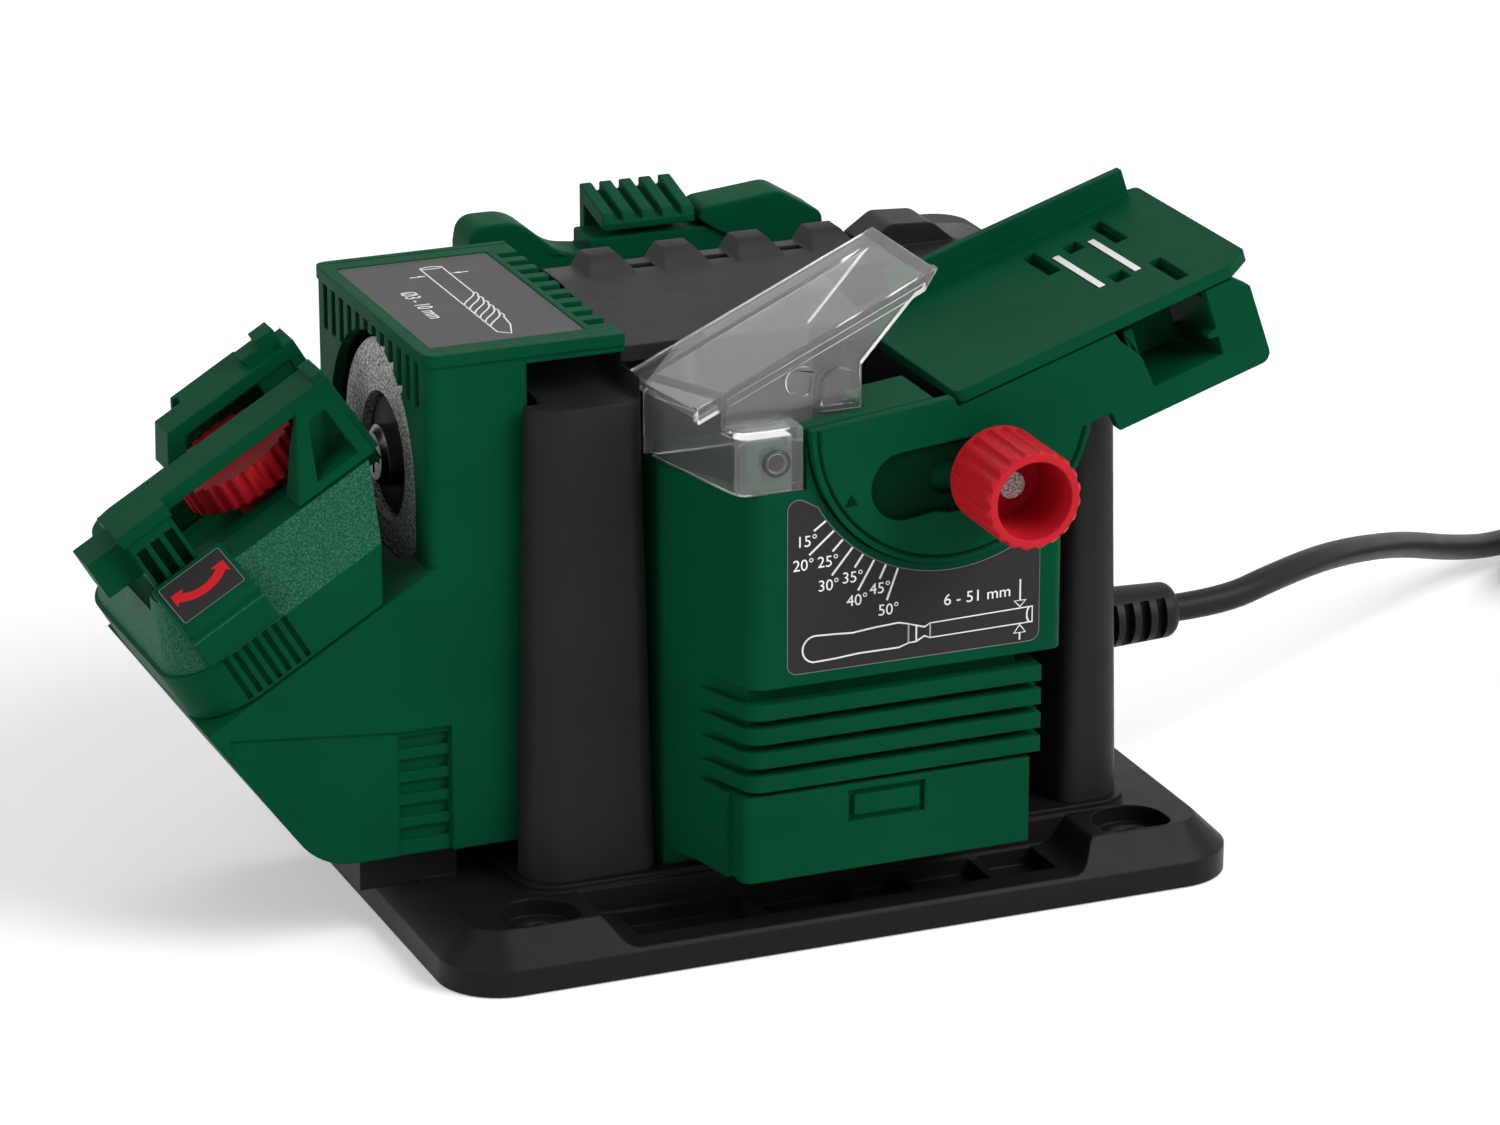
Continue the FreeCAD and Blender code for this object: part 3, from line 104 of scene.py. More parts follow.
def photo_camera():
    """The photograph's own view, solved from the base plate's corners."""
    level = math.cos(VIEW_PITCH)
    ahead = Vector((math.sin(VIEW_YAW) * level, math.cos(VIEW_YAW) * level, -math.sin(VIEW_PITCH)))
    bpy.ops.object.camera_add(location=CAMERA_AT)
    camera = bpy.context.object
    camera.rotation_euler = ahead.to_track_quat("-Z", "Y").to_euler()
    camera.data.sensor_width = 36
    camera.data.lens = 144
    camera.data.clip_start = 0.05
    camera.data.clip_end = 30
    bpy.context.scene.camera = camera


def soft_lamp(name, at, size, watts):
    bpy.ops.object.light_add(type="AREA", location=at)
    lamp = bpy.context.object
    lamp.name = name
    lamp.rotation_euler = (LIGHT_AIM - Vector(at)).to_track_quat("-Z", "Y").to_euler()
    lamp.data.shape = "RECTANGLE"
    lamp.data.size, lamp.data.size_y = size
    lamp.data.energy = watts


def rays_that_see(tree):
    """1 for rays that show the background: the camera's own, and those off gloss and through glass."""
    path = tree.nodes.new("ShaderNodeLightPath")
    seen = path.outputs["Is Camera Ray"]
    for kind in ("Is Glossy Ray", "Is Transmission Ray"):
        either = tree.nodes.new("ShaderNodeMath")
        either.operation = "MAXIMUM"
        tree.links.new(seen, either.inputs[0])
        tree.links.new(path.outputs[kind], either.inputs[1])
        seen = either.outputs[0]
    return seen


def pale_floor():
    bpy.ops.mesh.primitive_plane_add(size=FLOOR_SIZE, location=(0, 0, -FLOOR_DROP))
    floor = bpy.context.object
    floor.name = "floor"
    pale, tree, shader = new_finish("pale_floor", roughness=0.9, sheen=0.1)
    shader.inputs["Base Color"].default_value = (FLOOR_WHITE, FLOOR_WHITE, FLOOR_WHITE, 1)
    shader.inputs["Emission Color"].default_value = (1, 1, 1, 1)
    glow = tree.nodes.new("ShaderNodeMath")
    glow.operation = "MULTIPLY"
    glow.inputs[1].default_value = FLOOR_GLOW
    tree.links.new(rays_that_see(tree), glow.inputs[0])
    tree.links.new(glow.outputs[0], shader.inputs["Emission Strength"])
    paint(floor, pale)


def pale_world():
    """A dim white light all round, which shows as white where the background itself is seen."""
    world = bpy.context.scene.world or bpy.data.worlds.new("studio")
    bpy.context.scene.world = world
    world.use_nodes = True
    tree = world.node_tree
    tree.nodes.clear()
    out = tree.nodes.new("ShaderNodeOutputWorld")
    lit = tree.nodes.new("ShaderNodeBackground")
    lit.inputs["Color"].default_value = (1, 1, 1, 1)
    lit.inputs["Strength"].default_value = WORLD_LIGHT
    seen = tree.nodes.new("ShaderNodeBackground")
    seen.inputs["Color"].default_value = (1, 1, 1, 1)
    seen.inputs["Strength"].default_value = 1
    pick = tree.nodes.new("ShaderNodeMixShader")
    tree.links.new(rays_that_see(tree), pick.inputs[0])
    tree.links.new(lit.outputs[0], pick.inputs[1])
    tree.links.new(seen.outputs[0], pick.inputs[2])
    tree.links.new(pick.outputs[0], out.inputs[0])


def studio():
    pale_floor()
    pale_world()
    soft_lamp("key_softbox", at=(0.95, -1.15, 1.25), size=(1.1, 1.1), watts=30)
    soft_lamp("fill_softbox", at=(-1.5, -0.35, 0.9), size=(0.9, 0.9), watts=8)
    soft_lamp("back_strip", at=(0.3, 1.1, 1.6), size=(1.4, 0.5), watts=5)
    bpy.context.scene.view_settings.view_transform = "Standard"


# Finishes

SHEEN, EDGE_ROUND = 0.1, 0.7
CLOUD_MM, GLOSS_MM, GLOSS_SWING = 22, 6, 0.07
DARK_AT, PALE_AT = 0.3, 0.7


def new_finish(name, roughness, metallic=0.0, sheen=SHEEN):
    finish = bpy.data.materials.new(name)
    finish.use_nodes = True
    shader = finish.node_tree.nodes["Principled BSDF"]
    shader.inputs["Roughness"].default_value = roughness
    shader.inputs["Metallic"].default_value = metallic
    shader.inputs["Specular IOR Level"].default_value = sheen
    return finish, finish.node_tree, shader


def noise(tree, size_mm, detail=2.0, stretch=(1, 1, 1)):
    """Noise whose features are about this large, read from the piece's own coordinates."""
    coords = tree.nodes.new("ShaderNodeTexCoord")
    mapping = tree.nodes.new("ShaderNodeMapping")
    mapping.inputs["Scale"].default_value = stretch
    texture = tree.nodes.new("ShaderNodeTexNoise")
    texture.inputs["Scale"].default_value = 1 / (size_mm * MM)
    texture.inputs["Detail"].default_value = detail
    tree.links.new(coords.outputs["Object"], mapping.inputs["Vector"])
    tree.links.new(mapping.outputs["Vector"], texture.inputs["Vector"])
    return texture.outputs["Fac"]


def colours_over(tree, value, *stops):
    ramp = tree.nodes.new("ShaderNodeValToRGB")
    ramp.color_ramp.elements[0].position = stops[0][0]
    ramp.color_ramp.elements[0].color = (*stops[0][1], 1)
    ramp.color_ramp.elements[1].position = stops[-1][0]
    ramp.color_ramp.elements[1].color = (*stops[-1][1], 1)
    for position, colour in stops[1:-1]:
        ramp.color_ramp.elements.new(position).color = (*colour, 1)
    tree.links.new(value, ramp.inputs["Fac"])
    return ramp.outputs["Color"]


def spread(tree, value, low, high):
    """Stretch a 0 to 1 value over a range of roughness."""
    fit = tree.nodes.new("ShaderNodeMapRange")
    fit.inputs["To Min"].default_value = low
    fit.inputs["To Max"].default_value = high
    tree.links.new(value, fit.inputs["Value"])
    return fit.outputs["Result"]


def bumped(tree, shader, value, depth_mm, strength=1.0, edge=0.0):
    """Fine relief on the skin. With an edge, corners catch the light as rounded ones do."""
    bump = tree.nodes.new("ShaderNodeBump")
    bump.inputs["Strength"].default_value = strength
    bump.inputs["Distance"].default_value = depth_mm * MM
    if edge:
        soft = tree.nodes.new("ShaderNodeBevel")
        soft.samples = 4
        soft.inputs["Radius"].default_value = edge * MM
        tree.links.new(soft.outputs["Normal"], bump.inputs["Normal"])
    tree.links.new(value, bump.inputs["Height"])
    tree.links.new(bump.outputs["Normal"], shader.inputs["Normal"])


def tone(colour, factor):
    return tuple(channel * factor for channel in colour)


def moulded(name, colour, gloss, grain_mm, depth_mm, unevenness=0.08, sheen=SHEEN, edge=0.0):
    """Moulded plastic: fine grain from the tool, with faint clouds in colour and gloss."""
    finish, tree, shader = new_finish(name, gloss, sheen=sheen)
    dark, pale = tone(colour, 1 - unevenness), tone(colour, 1 + unevenness)
    tint = colours_over(tree, noise(tree, CLOUD_MM, detail=3), (DARK_AT, dark), (PALE_AT, pale))
    tree.links.new(tint, shader.inputs["Base Color"])
    dull = spread(tree, noise(tree, GLOSS_MM), gloss - GLOSS_SWING, gloss + GLOSS_SWING)
    tree.links.new(dull, shader.inputs["Roughness"])
    bumped(tree, shader, noise(tree, grain_mm, detail=1), depth_mm, edge=edge)
    return finish


def speckled(name, dark, pale, gloss, grain_mm, depth_mm, sheen=SHEEN):
    """A coarse sparkling grain, as spark erosion leaves in a mould, or as bonded grit has."""
    finish, tree, shader = new_finish(name, gloss, sheen=sheen)
    low, middle, high, half_tone = 0.36, 0.5, 0.66, 0.6
    grains = noise(tree, grain_mm)
    tint = colours_over(tree, grains, (low, dark), (middle, tone(pale, half_tone)), (high, pale))
    tree.links.new(tint, shader.inputs["Base Color"])
    bumped(tree, shader, grains, depth_mm)
    return finish


def metal(name, colour, gloss, stretch, grain_mm=0.3):
    """Metal with fine lines, thin along the axis that has the large stretch."""
    finish, tree, shader = new_finish(name, gloss, metallic=1.0)
    shade, swing, depth_mm = 0.8, 0.1, 0.01
    lines = noise(tree, grain_mm, detail=3, stretch=stretch)
    tint = colours_over(tree, lines, (DARK_AT, tone(colour, shade)), (PALE_AT, colour))
    tree.links.new(tint, shader.inputs["Base Color"])
    tree.links.new(spread(tree, lines, gloss - swing, gloss + swing), shader.inputs["Roughness"])
    bumped(tree, shader, lines, depth_mm)
    return finish


def clear_finish():
    """Clear moulded plastic, a little milky, with faint flow marks."""
    flow_mm, depth_mm = 9, 0.02
    finish, tree, shader = new_finish("clear_plastic", roughness=0.05)
    shader.inputs["Base Color"].default_value = (0.93, 0.94, 0.93, 1)
    shader.inputs["Transmission Weight"].default_value = 0.96
    shader.inputs["IOR"].default_value = 1.46
    bumped(tree, shader, noise(tree, flow_mm, detail=1), depth_mm, strength=0.4, edge=EDGE_ROUND / 2)
    return finish


def wound_finish():
    """Enamelled copper wire, laid in fine turns."""
    dark, bright, depth_mm = (0.25, 0.07, 0.02), (0.72, 0.3, 0.13), 0.15
    finish, tree, shader = new_finish("copper_windings", roughness=0.35, metallic=1.0)
    coords = tree.nodes.new("ShaderNodeTexCoord")
    wires = tree.nodes.new("ShaderNodeTexWave")
    wires.inputs["Scale"].default_value = 900
    wires.inputs["Distortion"].default_value = 0.6
    tree.links.new(coords.outputs["Object"], wires.inputs["Vector"])
    tint = colours_over(tree, wires.outputs["Fac"], (0.2, dark), (PALE_AT, bright))
    tree.links.new(tint, shader.inputs["Base Color"])
    bumped(tree, shader, wires.outputs["Fac"], depth_mm)
    return finish


def grey(level):
    return (level, level, level)


GREEN, BLACK, RED = (0.0012, 0.062, 0.0245), (0.0145, 0.0142, 0.0142), (0.5, 0.012, 0.022)
green = moulded("green_plastic", GREEN, gloss=0.46, grain_mm=0.5, depth_mm=0.012, sheen=0.022,
                edge=EDGE_ROUND)
green_grained = speckled("green_grained", (0.004, 0.07, 0.03), (0.03, 0.15, 0.085), gloss=0.5,
                         grain_mm=0.42, depth_mm=0.1, sheen=0.04)
# Painted shade: a darker, matt copy of the green for sunk marks, recesses and hole floors.
green_painted_shade = moulded("green_painted_shade", tone(GREEN, 0.3), gloss=0.6, grain_mm=0.5, depth_mm=0.01, sheen=0.02)
black = moulded("black_plastic", BLACK, gloss=0.46, grain_mm=0.5, depth_mm=0.015, edge=EDGE_ROUND)
# Painted shade: a darker copy of the black plastic for the base and its screw rims, whose top takes little
# light.
black_base_painted_shade = moulded("black_base_painted_shade", tone(BLACK, 0.55), gloss=0.4, grain_mm=0.5, depth_mm=0.015, sheen=0.11,
                     edge=EDGE_ROUND)
red = moulded("red_plastic", RED, gloss=0.36, grain_mm=0.6, depth_mm=0.008, edge=EDGE_ROUND)
clear = clear_finish()
rubber = moulded("cord_rubber", grey(0.016), gloss=0.42, grain_mm=0.8, depth_mm=0.01)
label_film = moulded("label_film", (0.03, 0.0285, 0.0285), gloss=0.4, grain_mm=0.9, depth_mm=0.004,
                     unevenness=0.04, sheen=0.05)
# Painted light: a lighter copy of the label film for the lid, whose label faces the light from above.
top_film_painted_light = moulded("top_label_film_painted_light", (0.08, 0.077, 0.077), gloss=0.42, grain_mm=0.9, depth_mm=0.004,
                   unevenness=0.04, sheen=0.05)
# Painted highlight: a lighter line round each film for the light its cut edge catches.
rim_painted_highlight = moulded("label_edge_painted_highlight", (0.16, 0.18, 0.165), gloss=0.5, grain_mm=0.6, depth_mm=0.004,
                   unevenness=0.04)
white_ink = moulded("white_ink", grey(0.86), gloss=0.5, grain_mm=0.4, depth_mm=0.004, unevenness=0.02)
red_ink = moulded("red_ink", (0.62, 0.016, 0.022), gloss=0.45, grain_mm=0.4, depth_mm=0.004, unevenness=0.02)
grit = speckled("bonded_grit", grey(0.05), (0.95, 0.94, 0.92), gloss=0.7, grain_mm=0.42, depth_mm=0.2)
washer_black = moulded("washer_black", grey(0.004), gloss=0.45, grain_mm=0.8, depth_mm=0.004, sheen=0.05)
steel = metal("bright_steel", (0.72, 0.72, 0.73), gloss=0.32, stretch=(1, 1, 12))
dark_steel = metal("dark_steel", (0.2, 0.2, 0.205), gloss=0.24, stretch=(1, 12, 1))
knurled_steel = speckled("knurled_steel", grey(0.12), grey(0.75), gloss=0.4, grain_mm=0.5, depth_mm=0.12)
brass = metal("stamped_brass", (0.72, 0.52, 0.22), gloss=0.35, stretch=(1, 6, 1))
sheet_iron = metal("sheet_iron", (0.3, 0.3, 0.31), gloss=0.5, stretch=(12, 1, 1), grain_mm=0.8)
carbon = speckled("pressed_carbon", grey(0.01), grey(0.05), gloss=0.6, grain_mm=0.4, depth_mm=0.05)
windings = wound_finish()

FINISHES = {"green_plastic": green, "black_plastic": black, "red_plastic": red, "clear_plastic": clear,
            "steel": steel, "brass": brass, "copper": windings, "laminations": sheet_iron, "carbon": carbon,
            "abrasive": grit, "cord_rubber": rubber}
SPECIAL = {"wheel_washer": washer_black, "wheel_screw": dark_steel, "knob_stud": knurled_steel,
           "base_plate": black_base_painted_shade}
SLOT_OF = {part["node"]: part["material_slot"] for part in frame["record"]["subparts"]}


# The mains lead

CORD_RADIUS = 3.2
GRIP_END = (100, -15, 43.5)
CORD_ROUTE = [(113, -15, 43.5), (127.5, -10.5, 45.6), (146, 0.5, 44.4), (167, 18, 38.2), (190, 40.5, 28.6),
              (214.5, 64, 16.6), (238, 84, 7.2), (259, 96.85, 4.1)]
COIL_START, COIL_HEADING = (282.5, 99.9), math.radians(7.4)
COIL_RADIUS, COIL_PITCH, COIL_LIFT, COIL_TAIL = 48.4, 6.9, 4.1, 22
COIL_HALF_TURNS, COIL_STEP_OUT = 6, 1.25


def coil_points():
    """Half turns that spiral in on the table, climb one layer and spiral out again."""
    heading = Vector((math.cos(COIL_HEADING), math.sin(COIL_HEADING), 0))
    outward = Vector((-heading.y, heading.x, 0))
    middle = Vector((*COIL_START, 0)) - outward * COIL_RADIUS
    reach = [COIL_RADIUS - COIL_PITCH / 2 * i for i in range(COIL_HALF_TURNS + 2)]
    reach.append(reach[-1] + COIL_STEP_OUT * COIL_PITCH)
    while len(reach) < 2 * COIL_HALF_TURNS + 2:
        reach.append(reach[-1] + COIL_PITCH / 2)
    steps = 9
    # A quadratic line runs inside its points, so they stand this much outside the round.
    swell = 1 / (0.75 + 0.25 * math.cos(math.pi / steps))
    points = [Vector((*COIL_START, COIL_LIFT)) - heading * 2 * CORD_RADIUS]
    for i, (near, far) in enumerate(zip(reach, reach[1:])):
        sign = (-1) ** i
        radius, shift = (near + far) / 2, (near - far) / 2
        low = COIL_LIFT + (COIL_PITCH if i > COIL_HALF_TURNS else 0)
        climb = COIL_PITCH if i == COIL_HALF_TURNS else 0
        for step in range(steps):
            angle = math.pi * (step + 0.5) / steps
            across = sign * (shift + swell * radius * math.cos(angle))
            along = sign * swell * radius * math.sin(angle)
            height = low + climb * (step + 0.5) / steps
            points.append(middle + outward * across + heading * along + Vector((0, 0, height)))
    last = middle - outward * reach[-1] + Vector((0, 0, COIL_LIFT + COIL_PITCH))
    points.append(last)
    points.append(last - heading * COIL_TAIL)
    return points


def mains_lead():
    points = [Vector(GRIP_END)] + [Vector(spot) for spot in CORD_ROUTE] + coil_points()
    curve = bpy.data.curves.new("mains_lead", "CURVE")
    curve.dimensions = "3D"
    line = curve.splines.new("NURBS")
    line.points.add(len(points) - 1)
    for spot, place in zip(line.points, points):
        spot.co = (*(place * MM), 1)
    line.order_u = 3
    line.use_endpoint_u = True
    line.resolution_u = 6
    curve.bevel_depth = CORD_RADIUS * MM
    curve.bevel_resolution = 4
    curve.use_fill_caps = True
    lead = bpy.data.objects.new("mains_lead", curve)
    bpy.context.scene.collection.objects.link(lead)
    paint(lead, rubber)
    add_piece(lead, "station")
    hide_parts("power_cord", "cord_coil")
    return lead


# Printed labels, drawn flat in millimetres and then laid on their faces

FILM, INK = 0.12, 0.05
INK_LOW, INK_HIGH = FILM - INK, FILM + INK
FINE, LINE, TICK = 0.22, 0.4, 0.5
DIAL = (18.5, 117.5)
DIAL_FACE, PLATE_FACE = -72, -73.7
DECK_TILT = math.radians(31)
DECK_START = (-82.6, 99)
DECK_ALONG = Vector((math.cos(DECK_TILT), 0, math.sin(DECK_TILT)))
DECK_UP = Vector((-math.sin(DECK_TILT), 0, math.cos(DECK_TILT)))


def place_on(origin, right, up):
    """The matrix that lays a flat drawing on a face, by its origin and two directions."""
    right, up = Vector(right).normalized(), Vector(up).normalized()
    axes = Matrix((right, up, right.cross(up))).transposed().to_4x4()
    return Matrix.Translation(Vector(origin) * MM) @ axes @ Matrix.Scale(MM, 4)


def on_front(y):
    """The matrix for a drawing on a face that looks to the front."""
    return place_on((0, y, 0), (1, 0, 0), (0, 0, 1))


def polar(middle, radius, degrees):
    turn = math.radians(degrees)
    return (middle[0] + radius * math.cos(turn), middle[1] + radius * math.sin(turn))


def on_arc(middle, radius, start, end, steps=14):
    """Points on an arc from one angle to another, in degrees."""
    return [polar(middle, radius, start + (end - start) * i / steps) for i in range(steps + 1)]


def rounded_box(left, right, low, high, radius):
    ends = ((left + radius, low + radius, 180), (right - radius, low + radius, 270),
            (right - radius, high - radius, 0), (left + radius, high - radius, 90))
    return [spot for x, y, start in ends for spot in on_arc((x, y), radius, start, start + 90, steps=5)]


def drawn_line(points, closed):
    curve = bpy.data.curves.new("drawn_line", "CURVE")
    line = curve.splines.new("POLY")
    line.points.add(len(points) - 1)
    for spot, place in zip(line.points, points):
        spot.co = (*place, 0, 1)
    line.use_cyclic_u = closed
    item = bpy.data.objects.new("drawn_line", curve)
    bpy.context.scene.collection.objects.link(item)
    return item


def printed(item, finish, low, high):
    """Make a drawing a mesh that fills the height from low to high above its face."""
    only(item)
    bpy.ops.object.convert(target="MESH")
    heights = [vertex.co.z for vertex in item.data.vertices]
    squeeze = (high - low) / (max(heights) - min(heights))
    item.data.transform(Matrix.Diagonal((1, 1, squeeze, 1)))
    item.data.transform(Matrix.Translation((0, 0, low - squeeze * min(heights))))
    paint(item, finish)
    return item


def filled(points, finish, low=0.0, high=FILM):
    item = drawn_line(points, closed=True)
    item.data.dimensions = "2D"
    item.data.fill_mode = "BOTH"
    item.data.extrude = FILM
    return printed(item, finish, low, high)


def stroke(points, width=LINE, closed=False, finish=white_ink):
    item = drawn_line(points, closed)
    item.data.dimensions = "3D"
    item.data.bevel_depth = width / 2
    item.data.bevel_resolution = 1
    item.data.use_fill_caps = True
    return printed(item, finish, INK_LOW, INK_HIGH)


def lettering(words, middle, baseline, height, width=None):
    bpy.ops.object.text_add(location=(0, 0, 0))
    item = bpy.context.object
    item.data.body = words
    item.data.align_x = "CENTER"
    item.data.extrude = INK
    printed(item, white_ink, INK_LOW, INK_HIGH)
    tall = height / item.dimensions.y
    broad = width / item.dimensions.x if width else tall
    item.data.transform(Matrix.Translation((middle, baseline, 0)) @ Matrix.Diagonal((broad, tall, 1, 1)))
    return item


def laid(name, body, slot, place, *parts):
    """Join the parts of a drawing into one piece and lay it in its place."""
    item = joined(name, parts)
    item.data.transform(place)
    add_piece(item, body)


def cut_film(outline, finish):
    """A film and its fine cut edge, which is drawn lighter as a painted highlight."""
    return [filled(outline, finish), stroke(outline, FINE, closed=True, finish=rim_painted_highlight)]


def size_arrow(x, tail, base, tip):
    """A plain shaft and a hollow head, up or down."""
    half = 1.35
    shaft = stroke([(x, tail), (x, base)])
    head = stroke([(x - half, base), (x + half, base), (x, tip)], closed=True)
    return [shaft, head]


def angle_scale():
    """A tick and a figure for every five degrees, round the dial's edge."""
    edge, short, long = 34.7, 38, 42
    first, last, step, level = 15, 50, 5, 200
    left, drift, drop, height = 1.6, 2, 3.25, 2.6
    parts = []
    for value in range(first, last + 1, step):
        inner = polar(DIAL, edge, level + value)
        outer = polar(DIAL, short if value % 10 else long, level + value)
        share = (value - first) / (last - first)
        parts.append(stroke([inner, outer], TICK))
        parts.append(lettering(f"{value}°", outer[0] - left + drift * share, outer[1] - drop, height))
    return parts


def chisel_picture():
    """A chisel seen from the side: handle, ferrule, blade and its hollow ground end."""
    handle = [(9.2, 72.0), (6.9, 72.6), (1.5, 72.3), (-3.8, 71.8), (-8.0, 72.1),
              *on_arc((-12.2, 69.35), 2.95, 82, 262), (-7.5, 66.6), (-2.2, 67.0), (7.0, 67.0), (9.2, 67.7)]
    ferrule = [(9.2, 72.0), (11.0, 71.4), (12.9, 70.8), (14.2, 71.5), (14.2, 68.2), (12.9, 68.8),
               (11.0, 67.8), (9.2, 67.7)]
    blade = [(14.2, 71.5), (38, 72.0), (38, 68.5), (14.2, 68.2)]
    parts = [stroke(line, closed=True) for line in (handle, ferrule, blade)]
    parts.append(stroke([(11.0, 71.4), (11.0, 67.8)]))
    parts.append(stroke(on_arc((39.6, 70.25), 2.9, 143, 217, steps=6)))
    return parts


def chisel_label():
    """The film under the dial, cut round along the dial's edge."""
    left, right, low, radius = -18.6, 39.6, 64.2, 2.2
    edge, edge_right, edge_left = 34.5, -52.3, -151
    corner, corner_radius = (-16.2, 100.6), 2.4
    arrow = 35.1
    outline = (on_arc((left + radius, low + radius), radius, 180, 270, steps=5)
               + on_arc((right - radius, low + radius), radius, 270, 360, steps=5)
               + on_arc(DIAL, edge, edge_right, edge_left, steps=40)
               + on_arc(corner, corner_radius, 60, 180, steps=8))
    laid("chisel_label", "station", "black_plastic", on_front(DIAL_FACE), *cut_film(outline, label_film),
         *angle_scale(), *chisel_picture(), *size_arrow(arrow, tail=78.5, base=73.7, tip=72.3),
         *size_arrow(arrow, tail=64.8, base=66.4, tip=68.2),
         lettering("6 - 51 mm", middle=25.1, baseline=75.0, height=2.5, width=15.4))


def drill_picture(across):
    """A twist drill seen from the side: a plain shank, then lands that wind round the core."""
    half, shank, start, end = 2.5, -24.4, -4.5, 24.5
    low, high = across - half, across + half
    turns, reach, steps, swell = 6, 9.5, 10, 0.5
    tip, shoulder, shoulder_drop, narrow = 2, 4, 0.6, 0.8
    pitch = (end - start - reach) / turns
    oval = [(shank + narrow * x, across + half * y) for x, y in on_arc((0, 0), 1, 0, 360, steps=18)[:-1]]
    parts = [stroke(oval, closed=True)]
    parts.append(stroke([(shank, high), (start, high)]))
    parts.append(stroke([(shank, low), (end, low)]))
    waves = [(i / steps, math.pi * i / steps) for i in range(steps + 1)]
    for i in range(turns):
        at = start + pitch * i
        land = [(at + reach * share, across + half * math.cos(turn)) for share, turn in waves]
        side = [(at + pitch * share, high + swell * math.sin(turn)) for share, turn in waves]
        parts += [stroke(land), stroke(side)]
    point = [(end - reach, high), (end - shoulder, high - shoulder_drop), (end + tip, across), (end, low)]
    parts.append(stroke(point))
    return parts


def top_label():
    """The film on the drill housing's lid, with a drill, two arrows and the sizes it takes. Its film is
    lighter than the front one: painted light from above.
    """
    left, right, half, corner, lid = -81.8, -47.7, 30.3, 0.8, 131.6
    across, mark, head = -62.5, -19, 1.0
    face = place_on((0, 0, lid), (0, -1, 0), (1, 0, 0))
    outline = rounded_box(-half, half, left, right, corner)
    arrows = []
    for tail, tip in ((-69.2, -65.3), (-55.8, -59.7)):
        back = tip + math.copysign(2 * head, tail - tip)
        point = [(mark - head / 2, back), (mark + head / 2, back), (mark, tip)]
        arrows.append(stroke([(mark, tail), (mark, back)]))
        arrows.append(filled(point, white_ink, INK_LOW, INK_HIGH))
    laid("drill_label", "station", "black_plastic", face, *cut_film(outline, top_film_painted_light),
         *drill_picture(across), *arrows,
         lettering("Ø3 - 10 mm", middle=0.7, baseline=-75.0, height=3.5, width=19.8))


def on_deck(along, across, lift):
    """A spot over the drill housing's sloped deck."""
    return Vector((DECK_START[0], across, DECK_START[1])) + along * DECK_ALONG + lift * DECK_UP


NOSE_CAP = 1.5
NOSE_RUN, NOSE_RISE = 13, 4.6
NOSE_SLOPE = Vector((0, NOSE_RUN, 0)) + NOSE_RISE * DECK_UP
NOSE_FACE = place_on(on_deck(along=-50, across=-28.5, lift=13.9), DECK_ALONG, NOSE_SLOPE)


def nose_cap():
    """The rounded top of the holder's nose, which carries the film."""
    long, wide, sunk, edge, forward = 18, 17.2, 3.0, 1.2, 1.3
    bpy.ops.object.select_all(action="DESELECT")
    bpy.ops.mesh.primitive_cube_add(size=1, location=(0, 0, 0))
    cap = bpy.context.object
    cap.name = "nose_cap"
    bpy.ops.object.mode_set(mode="EDIT")
    bpy.ops.transform.resize(value=(long, wide, NOSE_CAP + sunk))
    bpy.ops.transform.translate(value=(0, -forward, (NOSE_CAP - sunk) / 2))
    bpy.ops.mesh.bevel(offset=edge, segments=4, affect="EDGES")
    bpy.ops.object.mode_set(mode="OBJECT")
    bpy.ops.object.shade_smooth_by_angle(angle=SMOOTH_BELOW)
    cap.data.transform(NOSE_FACE)
    paint(cap, green)
    add_piece(cap, "holder")


def swing_arrow():
    """The outline of a curved arrow with a head at both ends."""
    centre, radius, half, head = (0.2, 6.3), 7.7, 1.15, 2.4
    start, end, point = 227, 311, 18
    end_head = [polar(centre, radius + head, end), polar(centre, radius, end + point),
                polar(centre, radius - head, end)]
    start_head = [polar(centre, radius - head, start), polar(centre, radius, start - point),
                  polar(centre, radius + head, start)]
    return (on_arc(centre, radius + half, start, end) + end_head
            + on_arc(centre, radius - half, end, start) + start_head)


def swing_label():
    """The film on the holder's nose, with an arrow for the way the holder swings."""
    long, wide, corner, forward = 15.4, 12.4, 0.5, 1.0
    face = NOSE_FACE @ Matrix.Translation((0, -forward, NOSE_CAP))
    outline = rounded_box(-long / 2, long / 2, -wide / 2, wide / 2, corner)
    laid("swing_label", "holder", "black_plastic", face, *cut_film(outline, label_film),
         filled(swing_arrow(), red_ink, INK_LOW, INK_HIGH))


def dial_pointer():
    """The small mark on the angle plate that points to the scale, in the darker green: painted shade of a
    sunk mark.
    """
    thin = 0.04
    mark = filled([(-4.9, 103.3), (-6.3, 100.5), (-3.3, 100.7)], green_painted_shade, high=thin)
    laid("dial_pointer", "arm", "green_plastic", on_front(PLATE_FACE), mark)


# Small mouldings on the CAD nodes

AS_DRAWN = Matrix.Scale(MM, 4)
TABLE_TILT = math.radians(18)
TABLE_ALONG = (math.cos(TABLE_TILT), 0, math.sin(TABLE_TILT))


def lid_rim():
    """The rim round the top of the drill housing, open at the end with the grips."""
    low, high, proud, sunk = 129.4, 132.06, 0.4, 1.6
    corner_x, corner_y, radius, end = -82.5, 34, 2.5, -41
    edges = []
    for reach in (radius + proud, radius - sunk):
        edges.append([(end, -corner_y - reach), *on_arc((corner_x, -corner_y), reach, 270, 180, steps=6),
                      *on_arc((corner_x, corner_y), reach, 180, 90, steps=6), (end, corner_y + reach)])
    outline = edges[0] + edges[1][::-1]
    laid("lid_rim", "station", "green_plastic", AS_DRAWN, filled(outline, green, low, high))


